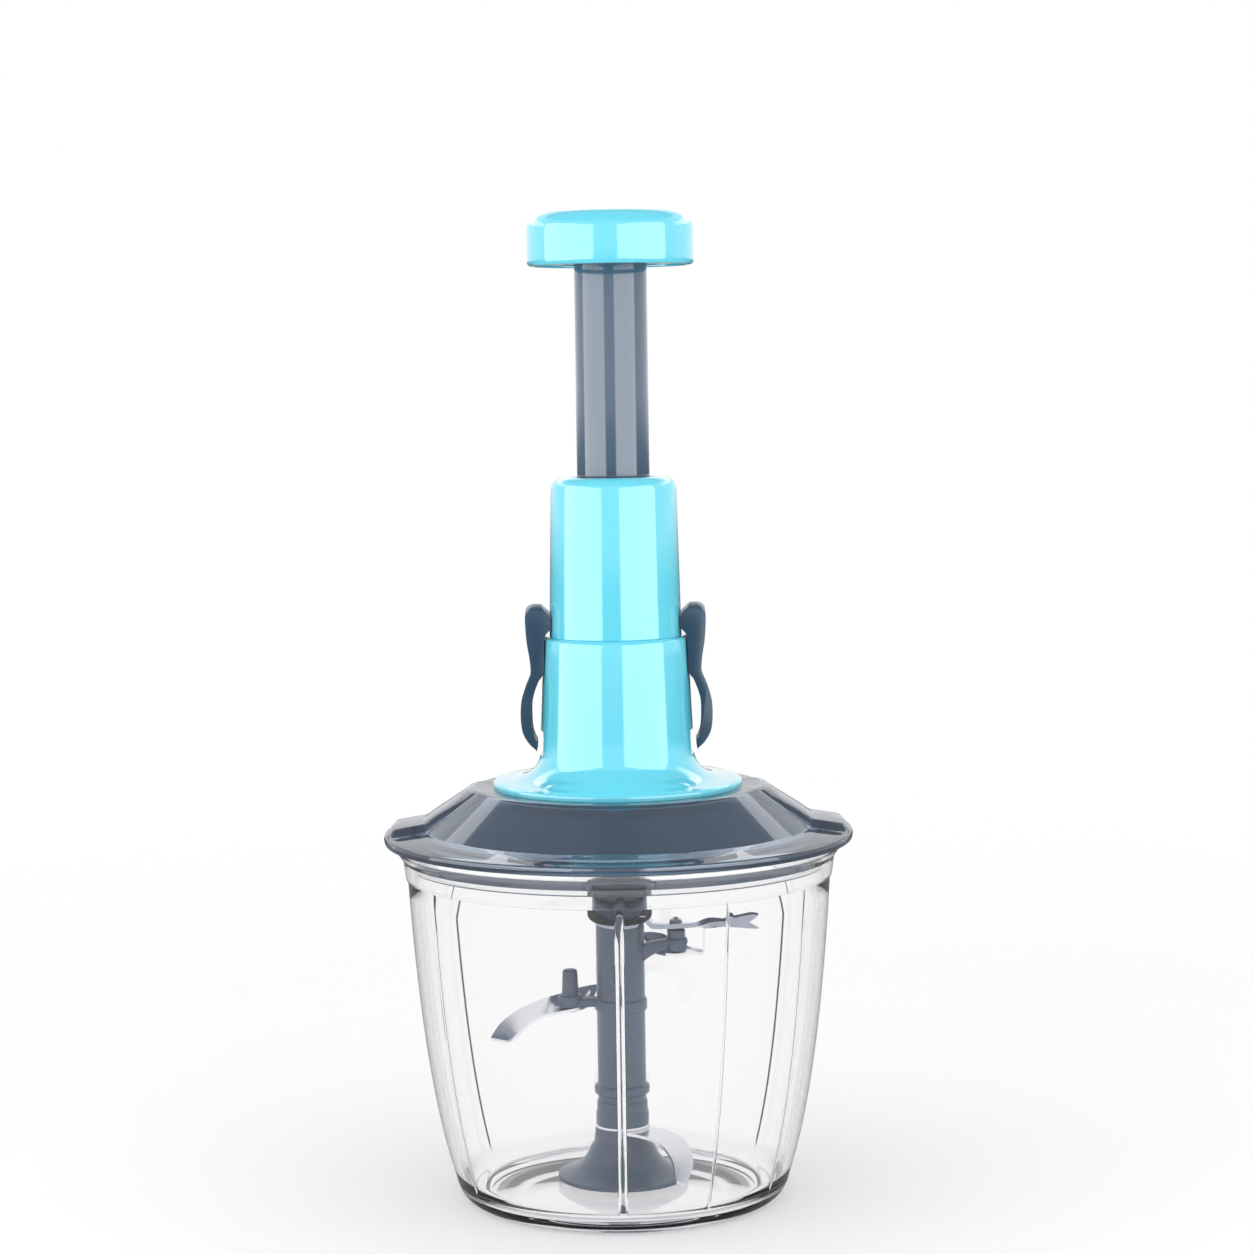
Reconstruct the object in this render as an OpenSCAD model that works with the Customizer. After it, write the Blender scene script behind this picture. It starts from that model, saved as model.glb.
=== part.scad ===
// Plunger food chopper. Pressing the knob drives a slotted nut down a twisted bar, and the
// bar spins the blade column in the clear bowl. Millimetres, +Z up. The origin is at the
// middle of the bowl's foot.

/* [Bowl] */
// Radius of the foot ring that the bowl stands on
bowl_foot_r = 45; // [43:0.5:46]
// Radius of the wall just above the rounded bottom corner
bowl_low_r = 50; // [49:0.5:51.5]
// Radius of the wall under the rim collar
bowl_top_r = 62.6; // [61.6:0.1:63.4]
// Height of the bowl from the table to its lip
bowl_h = 106.4; // [103:0.2:112]
// Height of the rounded bottom corner
corner_h = 7.1; // [6:0.1:8]
// Thickness of the bowl's wall
bowl_wall = 2.4; // [2:0.1:2.8]
// Thickness of the bowl's floor
bowl_floor_t = 3; // [2.4:0.1:3.6]
// How far the underside is hollowed inside the foot ring
foot_recess = 1; // [0.6:0.1:1.4]
// Width of the foot ring
foot_ring_w = 4; // [3:0.5:6]
// How far the stiffening ribs stand in from the wall
rib_depth = 1.8; // [1:0.1:2.4]
// Width of the stiffening ribs
rib_w = 1.6; // [1.2:0.1:2.4]
// Height of the boss that holds the centre pin
boss_h = 8; // [6:0.5:9]
// Radius of the boss that holds the centre pin
boss_r = 5.2; // [4.6:0.1:5.4]
// Radius of the steel centre pin
pin_r = 3; // [2.5:0.1:3.2]
// Height of the centre pin's tip above the table
pin_top_z = 62; // [50:1:66]

/* [Lid] */
// Radius of the lid's rim
lid_rim_r = 69.4; // [68:0.1:71]
// Thickness of the lid's edge and walls
lid_t = 2.5; // [2.1:0.1:2.8]
// Height of the flat top above the bowl's lip
lid_rise = 16.1; // [15:0.1:18]
// Radius of the flat top
plateau_r = 42.5; // [40:0.5:44]
// Radius at which the dome meets the rim
dome_foot_r = 57.75; // [56.5:0.25:59]
// How much higher the rim is at the dome than at its edge
rim_fall = 1.7; // [1:0.1:2.2]
// Depth of the skirt that drops inside the bowl
skirt_h = 6.7; // [5:0.1:8]
// Thickness of the skirt
skirt_t = 1.9; // [1.5:0.1:2.4]
// Gap between the skirt and the bowl
skirt_gap = 0.6; // [0.4:0.1:1]
// Width of the two finger lugs
lug_w = 26; // [20:1:30]
// Height of the finger lugs above the rim
lug_h = 2.4; // [1.6:0.1:3]
// Thickness of the dark cover under the dome
cover_t = 1.6; // [1.2:0.1:2]
// Gap between the dome and the dark cover
cover_gap = 1; // [0.6:0.1:1.2]

/* [Lower housing] */
// Height of the lower housing
bell_h = 44.5; // [44:0.5:50]
// Radius at its top
bell_top_r = 21.25; // [21:0.05:22]
// Radius above the foot fillet
bell_low_r = 23.2; // [23:0.1:24.5]
// Radius of the round foot
bell_foot_r = 37.1; // [35:0.1:40]
// Height of the fillet above the foot
fillet_h = 7; // [6:0.5:9]
// Thickness of the foot's edge
foot_edge_t = 2; // [1.6:0.1:2.6]
// Thickness of both housings' walls
shell_t = 2.3; // [2:0.1:2.5]

/* [Upper housing] */
// Height of the upper housing
cone_h = 47; // [45:0.5:52]
// Radius at its bottom
cone_low_r = 19.5; // [19.3:0.1:20]
// Radius at its top
cone_top_r = 18.4; // [18:0.1:19]
// Radius of the rounded top edge
cone_edge_r = 3.4; // [2:0.1:4]
// Radius of the mouth around the tube
mouth_r = 12.35; // [12:0.05:12.8]
// Length of the spigot inside the lower housing
spigot_h = 5.7; // [4:0.1:6]

/* [Plunger] */
// Travel of the plunger
stroke = 60; // [50:1:60]
// Radius of the plunger tube
tube_r = 10.65; // [10.3:0.05:10.9]
// Thickness of the tube's wall
tube_t = 1.8; // [1.5:0.1:2]
// Space left under the knob when it is pressed home
knob_rest_gap = 1.5; // [1:0.1:5]
// Radius of the knob
knob_r = 24.5; // [22:0.5:28]
// Height of the knob
knob_h = 16; // [14:0.5:18]
// Radius of the knob's upper edge
knob_edge_r = 5; // [3:0.5:6]
// Thickness of the knob's skirt
knob_wall = 2.5; // [2:0.1:3]
// Length of the guide bush
bush_h = 17.2; // [12:0.1:17.4]
// Thickness of the drive nut's flange
nut_flange_t = 5; // [4:0.5:6]
// Radius of the drive nut's flange
nut_flange_r = 13.6; // [13:0.1:14]
// Length of the drive nut inside the tube
nut_spigot_h = 12; // [8:0.5:14]

/* [Twisted bar and spring] */
// Width of the twisted bar
bar_w = 8; // [7:0.1:8.2]
// Thickness of the twisted bar
bar_t = 2.5; // [2:0.1:3]
// Height in which the bar makes one full turn
bar_lead = 36; // [30:1:48]
// Gap between the bar and the nut's slot
slot_gap = 0.3; // [0.25:0.05:0.4]
// Mean radius of the return spring
spring_r = 6.9; // [6.8:0.05:7.1]
// Wire diameter of the return spring
spring_wire = 0.9; // [0.7:0.1:1]
// Turns of the return spring
spring_turns = 13; // [10:1:14]

/* [Drive end] */
// Radius of the spindle's shaft
shaft_r = 5; // [4.8:0.1:5.2]
// Radius of the spindle's flange
hub_flange_r = 8.8; // [8.4:0.1:9]
// Radius of the bearing tube
bearing_r = 9; // [8.5:0.1:9.4]
// Radius of the coupling
coupling_r = 9.5; // [9:0.1:10]
// Depth of the coupling's lower face below the bowl's lip
coupling_drop = 15.8; // [15:0.1:17]
// Length of the coupling
coupling_h = 15.9; // [15.5:0.1:16.2]
// Corner radius of the six-sided drive
hex_r = 5.5; // [5.2:0.1:6]
// Length of the six-sided drive
hex_h = 6.5; // [5:0.1:6.7]

/* [Blade column] */
// Radius of the column
column_r = 7.2; // [7:0.1:7.6]
// Radius of the hub's skirt
hub_skirt_r = 19.5; // [17:0.5:22]
// Height of the hub's top
hub_top_z = 20.1; // [18:0.1:24]
// Gap between the hub's skirt and the bowl's floor
hub_floor_gap = 1; // [0.8:0.1:1.5]
// Thickness of the blades
blade_t = 0.9; // [0.7:0.1:1.2]
// Radius of the dark washer on the top blade's eye
eye_washer_r = 9.7; // [9.2:0.1:10.2]
// Thickness of that washer
eye_washer_t = 0.5; // [0.4:0.1:0.8]
// Distance of the right arm's boss from the axis
right_boss_x = 16.8; // [15:0.1:19]
// Distance of the left arm's boss from the axis
left_boss_x = 15.1; // [14:0.1:18]
// Height of the left arm's underside
left_arm_z = 55.7; // [50:0.1:60]
// Height of the free peg
peg_h = 7.6; // [5:0.1:9]
// Reach of the top blade from the axis
top_reach = 40; // [36:0.5:46]
// Reach of the right blade from the axis
right_reach = 25; // [23:0.5:32]
// Reach of the left blade from the axis
left_reach = 38; // [34:0.5:44]
// Reach of the bottom blade from the axis
bottom_reach = 38; // [34:0.5:40]
// Width of the blades
blade_w = 9; // [8:0.5:11]

/* [Clips] */
// Width of the clips
clip_w = 12; // [10:0.5:13]
// Half the thickness of the clips
clip_half_t = 2; // [1.8:0.1:2.2]
// Height of the pivot above the lower housing's foot
pivot_h = 35.1; // [34.6:0.1:35.6]
// Distance of the pivot from the axis
pivot_x = 17.3; // [17:0.1:17.5]
// Radius of the pivot pins
clip_pin_r = 1; // [0.8:0.1:1.1]
// How far a clip swings when it is squeezed
clip_swing = 6; // [3:0.5:6]

/* [Fits and fasteners] */
// Gap between pieces that move past each other
body_gap = 0.3; // [0.25:0.05:0.4]
// Radial clearance of a running fit
run_gap = 0.07; // [0.04:0.01:0.1]
// Radial clearance of a seated fit
seat_gap = 0.02; // [0.01:0.01:0.04]
// Radius of the screws' shanks
screw_r = 1.5; // [1.2:0.1:1.6]
// Radius of the screws' heads
screw_head_r = 2.75; // [2.4:0.05:2.9]
// Height of the screws' heads
screw_head_h = 2.2; // [1.6:0.1:2.2]

/* [Hidden] */
$fn = 96;
eps = 0.01;

// colours
cyan = [0.40, 0.87, 0.95];
slate = [0.24, 0.33, 0.42];
grey = [0.41, 0.47, 0.56];
smoke = [0.45, 0.52, 0.60, 0.6];
clear = [0.88, 0.90, 0.94, 0.35];
steel = [0.78, 0.79, 0.81];
dark = [0.10, 0.20, 0.26];

// heights, from the table up
floor_z = foot_recess + bowl_floor_t;
boss_top_z = floor_z + boss_h;
boss_sink = 0.5;
pin_z = floor_z - boss_sink;
pin_point = 1;
skirt_z = bowl_h - skirt_h + body_gap;
rim_under_z = bowl_h + body_gap;
rim_edge_z = rim_under_z + lid_t;
rim_top_z = rim_edge_z + rim_fall;
plateau_z = bowl_h + lid_rise;
bell_top_z = plateau_z + bell_h;
cone_top_z = bell_top_z + cone_h;
knob_z = cone_top_z + stroke + knob_rest_gap;
knob_top_z = knob_z + knob_h;

spigot_t = 2;
spigot_step = 1.4;
cone_spigot_r = cone_low_r - spigot_step;

// drive base, bearing and coupling
base_t = 2.8;
base_rebate = 1;
base_r = bell_low_r - shell_t + base_rebate;
base_top_z = plateau_z + base_t;
base_boss_wall = 2.6;
base_boss_r = hub_flange_r + body_gap + base_boss_wall;
base_boss_h = 4.5;
washer_t = 0.5;
washer_sink = 0.6;
washer_z = plateau_z - washer_sink;
washer_play = 0.2;
hub_flange_z = washer_z + washer_t + washer_play;
hub_rise = 0.9;
hub_top_face_z = base_top_z + hub_rise;
coupling_z = bowl_h - coupling_drop;
coupling_top_z = coupling_z + coupling_h;
coupling_play = 0.5;
bearing_z = coupling_top_z + coupling_play;
coupling_web_t = 2;
shaft_seat_h = 5;
shaft_z = coupling_top_z - shaft_seat_h;
hex_socket_top_z = shaft_z - coupling_web_t;
tang_rise = 10.5;
tang_z = shaft_z + tang_rise;

// plunger
nut_rest_gap = 0.8;
nut_z = hub_top_face_z + nut_rest_gap + stroke;
nut_flange_top_z = nut_z + nut_flange_t;
nut_top_z = nut_flange_top_z + nut_spigot_h;
tube_bore_r = tube_r - tube_t;
knob_roof_t = 4.5;
knob_base_z = 0.4;
knob_base_t = 2.4;
nut_screw_r = 0.8;
nut_screw_head_r = 1;
nut_screw_rise = 5;
tube_top_z = knob_top_z - knob_roof_t;
web_t = 3;
web_z = tube_top_z - web_t;
bush_z = nut_flange_top_z + body_gap;
bush_play = 0.4;
bush_top_z = bush_z + bush_h;
bush_wall = 2.4;
bush_r = tube_r + run_gap + bush_wall;
bush_neck_play = 0.1;
bush_neck_drop = 0.5;
bush_flange_t = 2;
bush_flange_w = 2.2;
bush_flange_r = bush_r + bush_flange_w;
bar_corner_r = sqrt(bar_w * bar_w + bar_t * bar_t) / 2;
bar_end = 2.8;
bar_top_z = nut_top_z + bar_end;
seat_play = 0.6;
seat_z = nut_top_z + seat_play;
seat_cap_t = 1.5;
seat_top_z = bar_top_z + seat_cap_t;
bar_twist = -360 / bar_lead;
bar_segments = 12;

// blade column
column_z = hub_top_z + blade_t;
top_blade_drop = 8.6;
top_blade_z = coupling_z - top_blade_drop;
column_top_z = top_blade_z;
eye_washer_z = top_blade_z + blade_t;
cap_bottom_z = eye_washer_z + eye_washer_t;
cap_top_z = coupling_z - body_gap;
collar_h = 4.4;
collar_step = 0.8;
collar_r = column_r + collar_step;
hub_bottom_z = floor_z + hub_floor_gap;
pin_bore_r = pin_r + run_gap;
hub_spigot_r = 5;
hub_spigot_h = 6;
cap_spigot_r = 4.5;
cap_spigot_h = 6;
arm_w = 4.6;
right_boss_r = 3.1;
right_arm_drop = 8.8;
right_arm_z = top_blade_z - right_arm_drop;
right_boss_h = 3.9;
right_peg_r = 2.6;
left_boss_r = 3.5;
left_boss_h = 3.6;
left_arm_t = 2.6;
ring_step = 0.6;
ring_r = column_r + ring_step;
low_ring_step = 1;
low_ring_r = column_r + low_ring_step;
low_ring_rise = 11;
low_ring_z = hub_top_z + low_ring_rise;
band_drop = 5.6;
band_h = 3;
band_step = 0.35;
rivet_r = 1.2;
rivet_head_r = 2.1;
rivet_head_h = 0.9;
rivet_grip = 2.4;
left_bend_r = 26;
bottom_bend_r = 40;
blade_end_room = 4;
blade_hole_h = 4;
top_angle = -5;
left_angle = 180;
bottom_angle = -52;

// clips
pivot_z = plateau_z + pivot_h;
clip_face_x = 22.3;
clip_mid_x = clip_face_x + clip_half_t;
clip_rise = 4.6;
clip_top_z = bell_top_z + clip_rise;
clip_pad_r = 3.5;
tip_rise = 11.8;
clip_tip_z = plateau_z + tip_rise;
tip_room_low = 3.6;
tip_room_high = 2.8;
nose_rise = 3.4;
nose_z = bell_top_z + nose_rise;
nose_h = 2.4;
nose_play = 0.5;
nose_room_low = 1;
nose_room_high = 0.6;
nose_x = cone_low_r + body_gap - (nose_z - pivot_z) * sin(clip_swing);
tongue_w = 8;
tongue_h = 3.8;
ear_t = 2;
ear_gap = 3.6;
ear_y = tongue_w / 2 + ear_gap;
ear_in_x = 15.2;
ear_out_x = 20;
ear_low = 3.6;
ear_high = 2.8;
pin_bore_l = 2 * (ear_y + ear_t + seat_gap);
clip_spring_t = 0.6;
clip_spring_play = 0.15;
clip_spring_l = 2.6;
clip_spring_r = clip_pin_r + clip_spring_play + clip_spring_t;
tip_pocket_x = bell_r(clip_tip_z) - body_gap - (pivot_z - clip_tip_z) * sin(clip_swing);
window_play = body_gap + (clip_face_x - pivot_x) * sin(clip_swing);
window_side_gap = 0.4;
pad_w = 16;
pad_low = 5.2;
pad_high = 4.4;
pad_t = 2;
pocket_play = 0.5;
pocket_w = clip_w + 2 * pocket_play;

// screws that join the lid, the drive base and the lower housing
screw_ring_r = 19;
screw_boss_r = 3.1;
screw_boss_h = 14;
screw_grip = 9;
screw_angles = [90, 210, 330];
rib_angles = [-150, -90, -60, -30, 30, 90, 150];

function bez(a, b, c, t) = (1 - t) * (1 - t) * a + 2 * t * (1 - t) * b + t * t * c;
function bez_dir(a, b, c, t) = 2 * (1 - t) * (b - a) + 2 * t * (c - b);
function curve(a, b, c, n) = [for (i = [0:n]) bez(a, b, c, i / n)];
function arc(cx, cy, r, a0, a1, n) = [
    for (i = [0:n]) let (a = a0 + (a1 - a0) * i / n) [cx + r * cos(a), cy + r * sin(a)]
];
function reversed(list) = [for (i = [len(list) - 1:-1:0]) list[i]];
function moved_in(list, d) = [for (p = list) [p[0] - d, p[1]]];
function unit(v) = v / norm(v);

module ring(r_out, r_in, z0, z1) {
    translate([0, 0, z0])
        difference() {
            cylinder(r = r_out, h = z1 - z0);
            translate([0, 0, -1])
                cylinder(r = r_in, h = z1 - z0 + 2);
        }
}

module block(x0, x1, y0, y1, z0, z1) {
    translate([x0, y0, z0])
        cube([x1 - x0, y1 - y0, z1 - z0]);
}

// what is drawn along +X, and again turned to -X
module both_sides() {
    for (side = [0, 180])
        rotate([0, 0, side])
            children();
}

// what is drawn along +X, once for each screw that joins the housing and the lid
module at_each_screw(z) {
    for (a = screw_angles)
        rotate([0, 0, a])
            translate([screw_ring_r, 0, z])
                children();
}

// a screw with its head below and its shank pointing up from z
module screw_up(z, shank_h) {
    translate([0, 0, z - screw_head_h])
        cylinder(r = screw_head_r, h = screw_head_h);
    translate([0, 0, z - eps])
        cylinder(r = screw_r, h = shank_h + eps);
}

// ---- bowl ----

shoulder_drop = 10.1;
shoulder_z = bowl_h - shoulder_drop;
shoulder_step = 0.55;
collar_bowl_step = 1.3;
collar_bowl_r = bowl_top_r + collar_bowl_step;
lip_w = 2.1;
lip_r = collar_bowl_r + lip_w;
lip_h = 1.4;
lip_bevel = 0.3;
lip_collar_h = 4.4;
rib_foot_rise = 1.8;
rib_drop = 26;
boss_flare = 1.4;
// the wall and its rounded corner each bend towards one point
wall_pull = 8.9;
wall_pull_share = 0.352;
wall_knee = [bowl_low_r + wall_pull, shoulder_z * wall_pull_share];
wall_line = curve([bowl_low_r, corner_h], wall_knee, [bowl_top_r, shoulder_z], 16);
corner_pull = [3.8, 0.9];
corner_knee = [bowl_foot_r + corner_pull[0], corner_pull[1]];
corner_line = curve([bowl_foot_r, 0], corner_knee, [bowl_low_r, corner_h], 6);
inner_corner_h = 4;
inner_corner_w = 5;
inner_corner_z = floor_z + inner_corner_h;
function above(list, z) = [for (p = list) if (p[1] > z) p];
function wall_in_r(z) = lookup(z, [for (p = wall_line) [p[1], p[0]]]) - bowl_wall;

module bowl_profile() {
    inner_wall = moved_in(above(wall_line, inner_corner_z + 1), bowl_wall);
    corner_r = wall_in_r(corner_h) - inner_corner_w;
    polygon(concat(
        [[0, foot_recess], [bowl_foot_r - foot_ring_w - foot_recess, foot_recess]],
        [[bowl_foot_r - foot_ring_w, 0]],
        corner_line,
        wall_line,
        [[bowl_top_r + shoulder_step, shoulder_z + 0.1]],
        [[collar_bowl_r, bowl_h - lip_collar_h], [lip_r, bowl_h - lip_h], [lip_r, bowl_h - lip_bevel]],
        [[lip_r - lip_bevel, bowl_h], [collar_bowl_r - bowl_wall, bowl_h]],
        [[collar_bowl_r - bowl_wall, bowl_h - lip_collar_h]],
        reversed(inner_wall),
        curve([wall_in_r(inner_corner_z) - 0.4, inner_corner_z + 0.4],
              [wall_in_r(corner_h) - 0.8, floor_z + 0.2],
              [corner_r, floor_z], 5),
        [[0, floor_z]]
    ));
}

// a rib's outline: it starts inside the wall and runs from the rounded corner up to a slanted end
module bowl_rib() {
    low_z = inner_corner_z + rib_foot_rise;
    high_z = bowl_h - rib_drop;
    steps = 5;
    line = [
        for (i = [0:steps])
            let (z = low_z + (high_z - low_z) * i / steps) [wall_in_r(z), z]
    ];
    polygon(concat(
        moved_in(line, -bowl_wall / 2),
        [[wall_in_r(high_z + rib_depth) + bowl_wall / 2, high_z + rib_depth]],
        reversed(moved_in(line, rib_depth))
    ));
}

module bowl() {
    color(clear)
        difference() {
            union() {
                rotate_extrude($fn = 128)
                    bowl_profile();
                translate([0, 0, floor_z - boss_sink])
                    cylinder(r1 = boss_r + boss_flare, r2 = boss_r, h = boss_h + boss_sink);
                for (a = rib_angles)
                    rotate([0, 0, a])
                        rotate([90, 0, 0])
                            linear_extrude(rib_w, center = true)
                                bowl_rib();
            }
            translate([0, 0, pin_z])
                cylinder(r = pin_r + seat_gap, h = boss_top_z - pin_z + 1);
        }
}

module centre_pin() {
    color(steel) {
        translate([0, 0, pin_z])
            cylinder(r = pin_r, h = pin_top_z - pin_z - pin_point);
        translate([0, 0, pin_top_z - pin_point])
            cylinder(r1 = pin_r, r2 = pin_r - pin_point, h = pin_point);
    }
}

// ---- lid ----

skirt_r = collar_bowl_r - bowl_wall - skirt_gap;
lid_hole_play = 0.2;
lid_hole_r = base_boss_r + lid_hole_play;
dome_step = 1.2;
dome_in_r = dome_foot_r - dome_step;
plateau_ease = 2;
skirt_bevel = 0.4;

module lid_profile() {
    polygon([
        [lid_hole_r, plateau_z], [plateau_r - plateau_ease, plateau_z], [plateau_r, plateau_z - 0.6],
        [dome_foot_r, rim_top_z], [lid_rim_r - 0.8, rim_edge_z], [lid_rim_r, rim_edge_z - 0.9],
        [lid_rim_r, rim_under_z + 0.5], [lid_rim_r - 0.6, rim_under_z],
        [skirt_r, rim_under_z], [skirt_r, skirt_z + skirt_bevel], [skirt_r - skirt_bevel, skirt_z],
        [skirt_r - skirt_t, skirt_z], [skirt_r - skirt_t, rim_under_z + 0.4],
        [dome_in_r - 1, rim_top_z - 1.2],
        [plateau_r - 2.2, plateau_z - lid_t], [lid_hole_r, plateau_z - lid_t]
    ]);
}

// the raised bar of a finger lug, drawn along +X
module lug_profile() {
    polygon([
        [plateau_r - 3, plateau_z - 1.6], [plateau_r + 0.6, plateau_z + 0.1],
        [dome_foot_r - 0.4, rim_top_z + lug_h], [lid_rim_r - 2.4, rim_edge_z + lug_h - 0.4],
        [lid_rim_r - 0.9, rim_edge_z - 0.4], [lid_rim_r - 1, rim_edge_z - 1],
        [dome_foot_r, rim_top_z - 1]
    ]);
}

module lid() {
    color(smoke)
        difference() {
            union() {
                rotate_extrude($fn = 128)
                    lid_profile();
                both_sides()
                    rotate([90, 0, 0])
                        linear_extrude(lug_w, center = true)
                            lug_profile();
            }
            at_each_screw(plateau_z - lid_t - 1)
                cylinder(r = screw_r + seat_gap, h = lid_t + 2);
        }
}

cover_play = 0.3;
cover_top_z = plateau_z - lid_t - screw_head_h - cover_play;
cover_foot_r = dome_in_r - cover_gap - 0.6;
cover_foot_rise = 1.2;
cover_foot_z = rim_under_z + cover_foot_rise;
cover_neck_w = 2;
cover_neck_h = 5;
pillar_r = 2.4;
pillar_in = 8;

module lid_inner_cover() {
    shoulder = plateau_r - cover_gap - 2.4;
    color(slate) {
        rotate_extrude($fn = 128)
            polygon([
                [bearing_r + seat_gap, cover_top_z], [shoulder, cover_top_z],
                [cover_foot_r, cover_foot_z + cover_t], [cover_foot_r, cover_foot_z],
                [cover_foot_r - cover_t, cover_foot_z],
                [shoulder - 0.8, cover_top_z - cover_t], [bearing_r + cover_neck_w, cover_top_z - cover_t],
                [bearing_r + cover_neck_w, cover_top_z - cover_neck_h],
                [bearing_r + seat_gap, cover_top_z - cover_neck_h]
            ]);
        // the pillars that press against the flat top
        for (a = [30, 150, 270])
            rotate([0, 0, a])
                translate([plateau_r - pillar_in, 0, cover_top_z - eps])
                    cylinder(r = pillar_r, h = plateau_z - lid_t - cover_top_z + eps);
    }
}

// ---- housings ----

bell_edge_r = 1.2;
bell_edge_z = bell_top_z - bell_edge_r;
foot_edge_r = 0.9;
spigot_room = 0.2;
fillet_z = plateau_z + foot_edge_t;
function bell_r(z) = bell_low_r + (bell_top_r - bell_low_r) * (z - plateau_z) / bell_h;

module bell_profile() {
    polygon(concat(
        [[base_r + seat_gap, plateau_z], [bell_foot_r - 0.5, plateau_z]],
        [[bell_foot_r, plateau_z + 0.5]],
        arc(bell_foot_r - foot_edge_r, fillet_z - foot_edge_r, foot_edge_r, 0, 90, 4),
        curve([bell_foot_r - 4, fillet_z + 0.3],
              [bell_r(fillet_z) + 1.2, fillet_z + 0.6],
              [bell_r(fillet_z + fillet_h), fillet_z + fillet_h], 8),
        [[bell_top_r, bell_edge_z]],
        arc(bell_top_r - bell_edge_r, bell_edge_z, bell_edge_r, 0, 90, 4),
        [[cone_spigot_r + spigot_room, bell_top_z]],
        [[cone_spigot_r + spigot_room, bell_top_z - spigot_h - 0.3]],
        [[bell_r(pivot_z) - shell_t, bell_top_z - spigot_h - 1.5]],
        [[bell_low_r - shell_t, base_top_z + 3], [bell_low_r - shell_t, base_top_z]],
        [[base_r + seat_gap, base_top_z]]
    ));
}

module clip_ears() {
    both_sides()
        for (y = [-ear_y - ear_t / 2, ear_y + ear_t / 2])
            difference() {
                block(ear_in_x, ear_out_x, y - ear_t / 2, y + ear_t / 2,
                      pivot_z - ear_low, pivot_z + ear_high);
                translate([pivot_x, y, pivot_z])
                    rotate([90, 0, 0])
                        cylinder(r = clip_pin_r + seat_gap, h = ear_t + 2, center = true);
            }
}

module clip_cuts() {
    window_h = tongue_h / 2 + window_play;
    window_w = tongue_w / 2 + window_side_gap;
    outside_x = bell_foot_r;
    both_sides() {
        // window for the tongue
        block(bell_r(pivot_z) - shell_t - 2, outside_x, -window_w, window_w,
              pivot_z - window_h, pivot_z + window_h);
        // bore for the pin, and room for the springs on it
        translate([pivot_x, 0, pivot_z])
            rotate([90, 0, 0]) {
                cylinder(r = clip_pin_r + seat_gap, h = pin_bore_l, center = true, $fn = 48);
                cylinder(r = clip_spring_r + body_gap, h = 2 * ear_y, center = true, $fn = 48);
            }
        // pocket for the tip
        block(tip_pocket_x, outside_x, -pocket_w / 2, pocket_w / 2,
              clip_tip_z - tip_room_low, clip_tip_z + tip_room_high);
    }
}

module lower_housing() {
    color(cyan)
        difference() {
            union() {
                rotate_extrude($fn = 128)
                    bell_profile();
                intersection() {
                    union() {
                        clip_ears();
                        // pads behind the tip pockets
                        both_sides()
                            block(tip_pocket_x - pad_t, bell_top_r, -pad_w / 2, pad_w / 2,
                                  clip_tip_z - pad_low, clip_tip_z + pad_high);
                        at_each_screw(base_top_z)
                            cylinder(r = screw_boss_r, h = screw_boss_h);
                    }
                    translate([0, 0, plateau_z])
                        cylinder(r1 = bell_low_r - 0.5, r2 = bell_top_r - 0.5, h = bell_h);
                }
            }
            clip_cuts();
            at_each_screw(base_top_z - 1)
                cylinder(r = screw_r + seat_gap, h = screw_grip + 2);
        }
}

module cone_profile() {
    edge = cone_edge_r;
    collar_bore = bush_r + seat_gap;
    flange_bore = bush_flange_r + 0.2;
    seat = bush_z + bush_flange_t;
    polygon(concat(
        [[cone_spigot_r - spigot_t, bell_top_z - spigot_h], [cone_spigot_r, bell_top_z - spigot_h]],
        [[cone_spigot_r, bell_top_z], [cone_low_r, bell_top_z]],
        [[cone_top_r, cone_top_z - edge]],
        arc(cone_top_r - edge, cone_top_z - edge, edge, 0, 90, 8),
        [[mouth_r + 0.5, cone_top_z], [mouth_r, cone_top_z - 0.5]],
        [[mouth_r, bush_top_z + bush_play], [collar_bore, bush_top_z + bush_play], [collar_bore, seat]],
        [[flange_bore, seat], [flange_bore, bush_z - 2], [cone_spigot_r - spigot_t, bush_z - 5]]
    ));
}

module upper_housing() {
    color(cyan)
        difference() {
            rotate_extrude($fn = 128)
                cone_profile();
            both_sides()
                block(nose_x - nose_play, bell_foot_r, -pocket_w / 2, pocket_w / 2,
                      nose_z - nose_room_low, nose_z + nose_h + nose_room_high);
        }
}

module drive_base() {
    color(grey)
        difference() {
            union() {
                translate([0, 0, plateau_z])
                    cylinder(r = base_r, h = base_t);
                translate([0, 0, plateau_z - base_boss_h])
                    cylinder(r = base_boss_r, h = base_boss_h + eps);
                translate([0, 0, bearing_z])
                    cylinder(r = bearing_r, h = plateau_z - bearing_z);
            }
            translate([0, 0, bearing_z - 1])
                cylinder(r = shaft_r + run_gap, h = base_top_z - bearing_z + 2);
            translate([0, 0, washer_z])
                cylinder(r = hub_flange_r + body_gap, h = base_top_z - washer_z + 1);
            at_each_screw(plateau_z - 1)
                cylinder(r = screw_r + seat_gap, h = base_t + 2);
        }
}

module thrust_washer() {
    color(steel)
        ring(hub_flange_r, shaft_r + washer_play, washer_z, washer_z + washer_t);
}

module guide_bush() {
    color(grey) {
        ring(bush_r, tube_r + run_gap, bush_z, bush_top_z);
        ring(bush_flange_r, bush_r - eps, bush_z, bush_z + bush_flange_t);
        // the neck that shows in the mouth, around the tube
        ring(mouth_r - bush_neck_play, tube_r + run_gap, bush_top_z - eps, cone_top_z - bush_neck_drop);
    }
}

module housing_screws() {
    color(steel)
        at_each_screw(0)
            screw_up(plateau_z - lid_t, lid_t + base_t + screw_grip);
}

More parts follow.
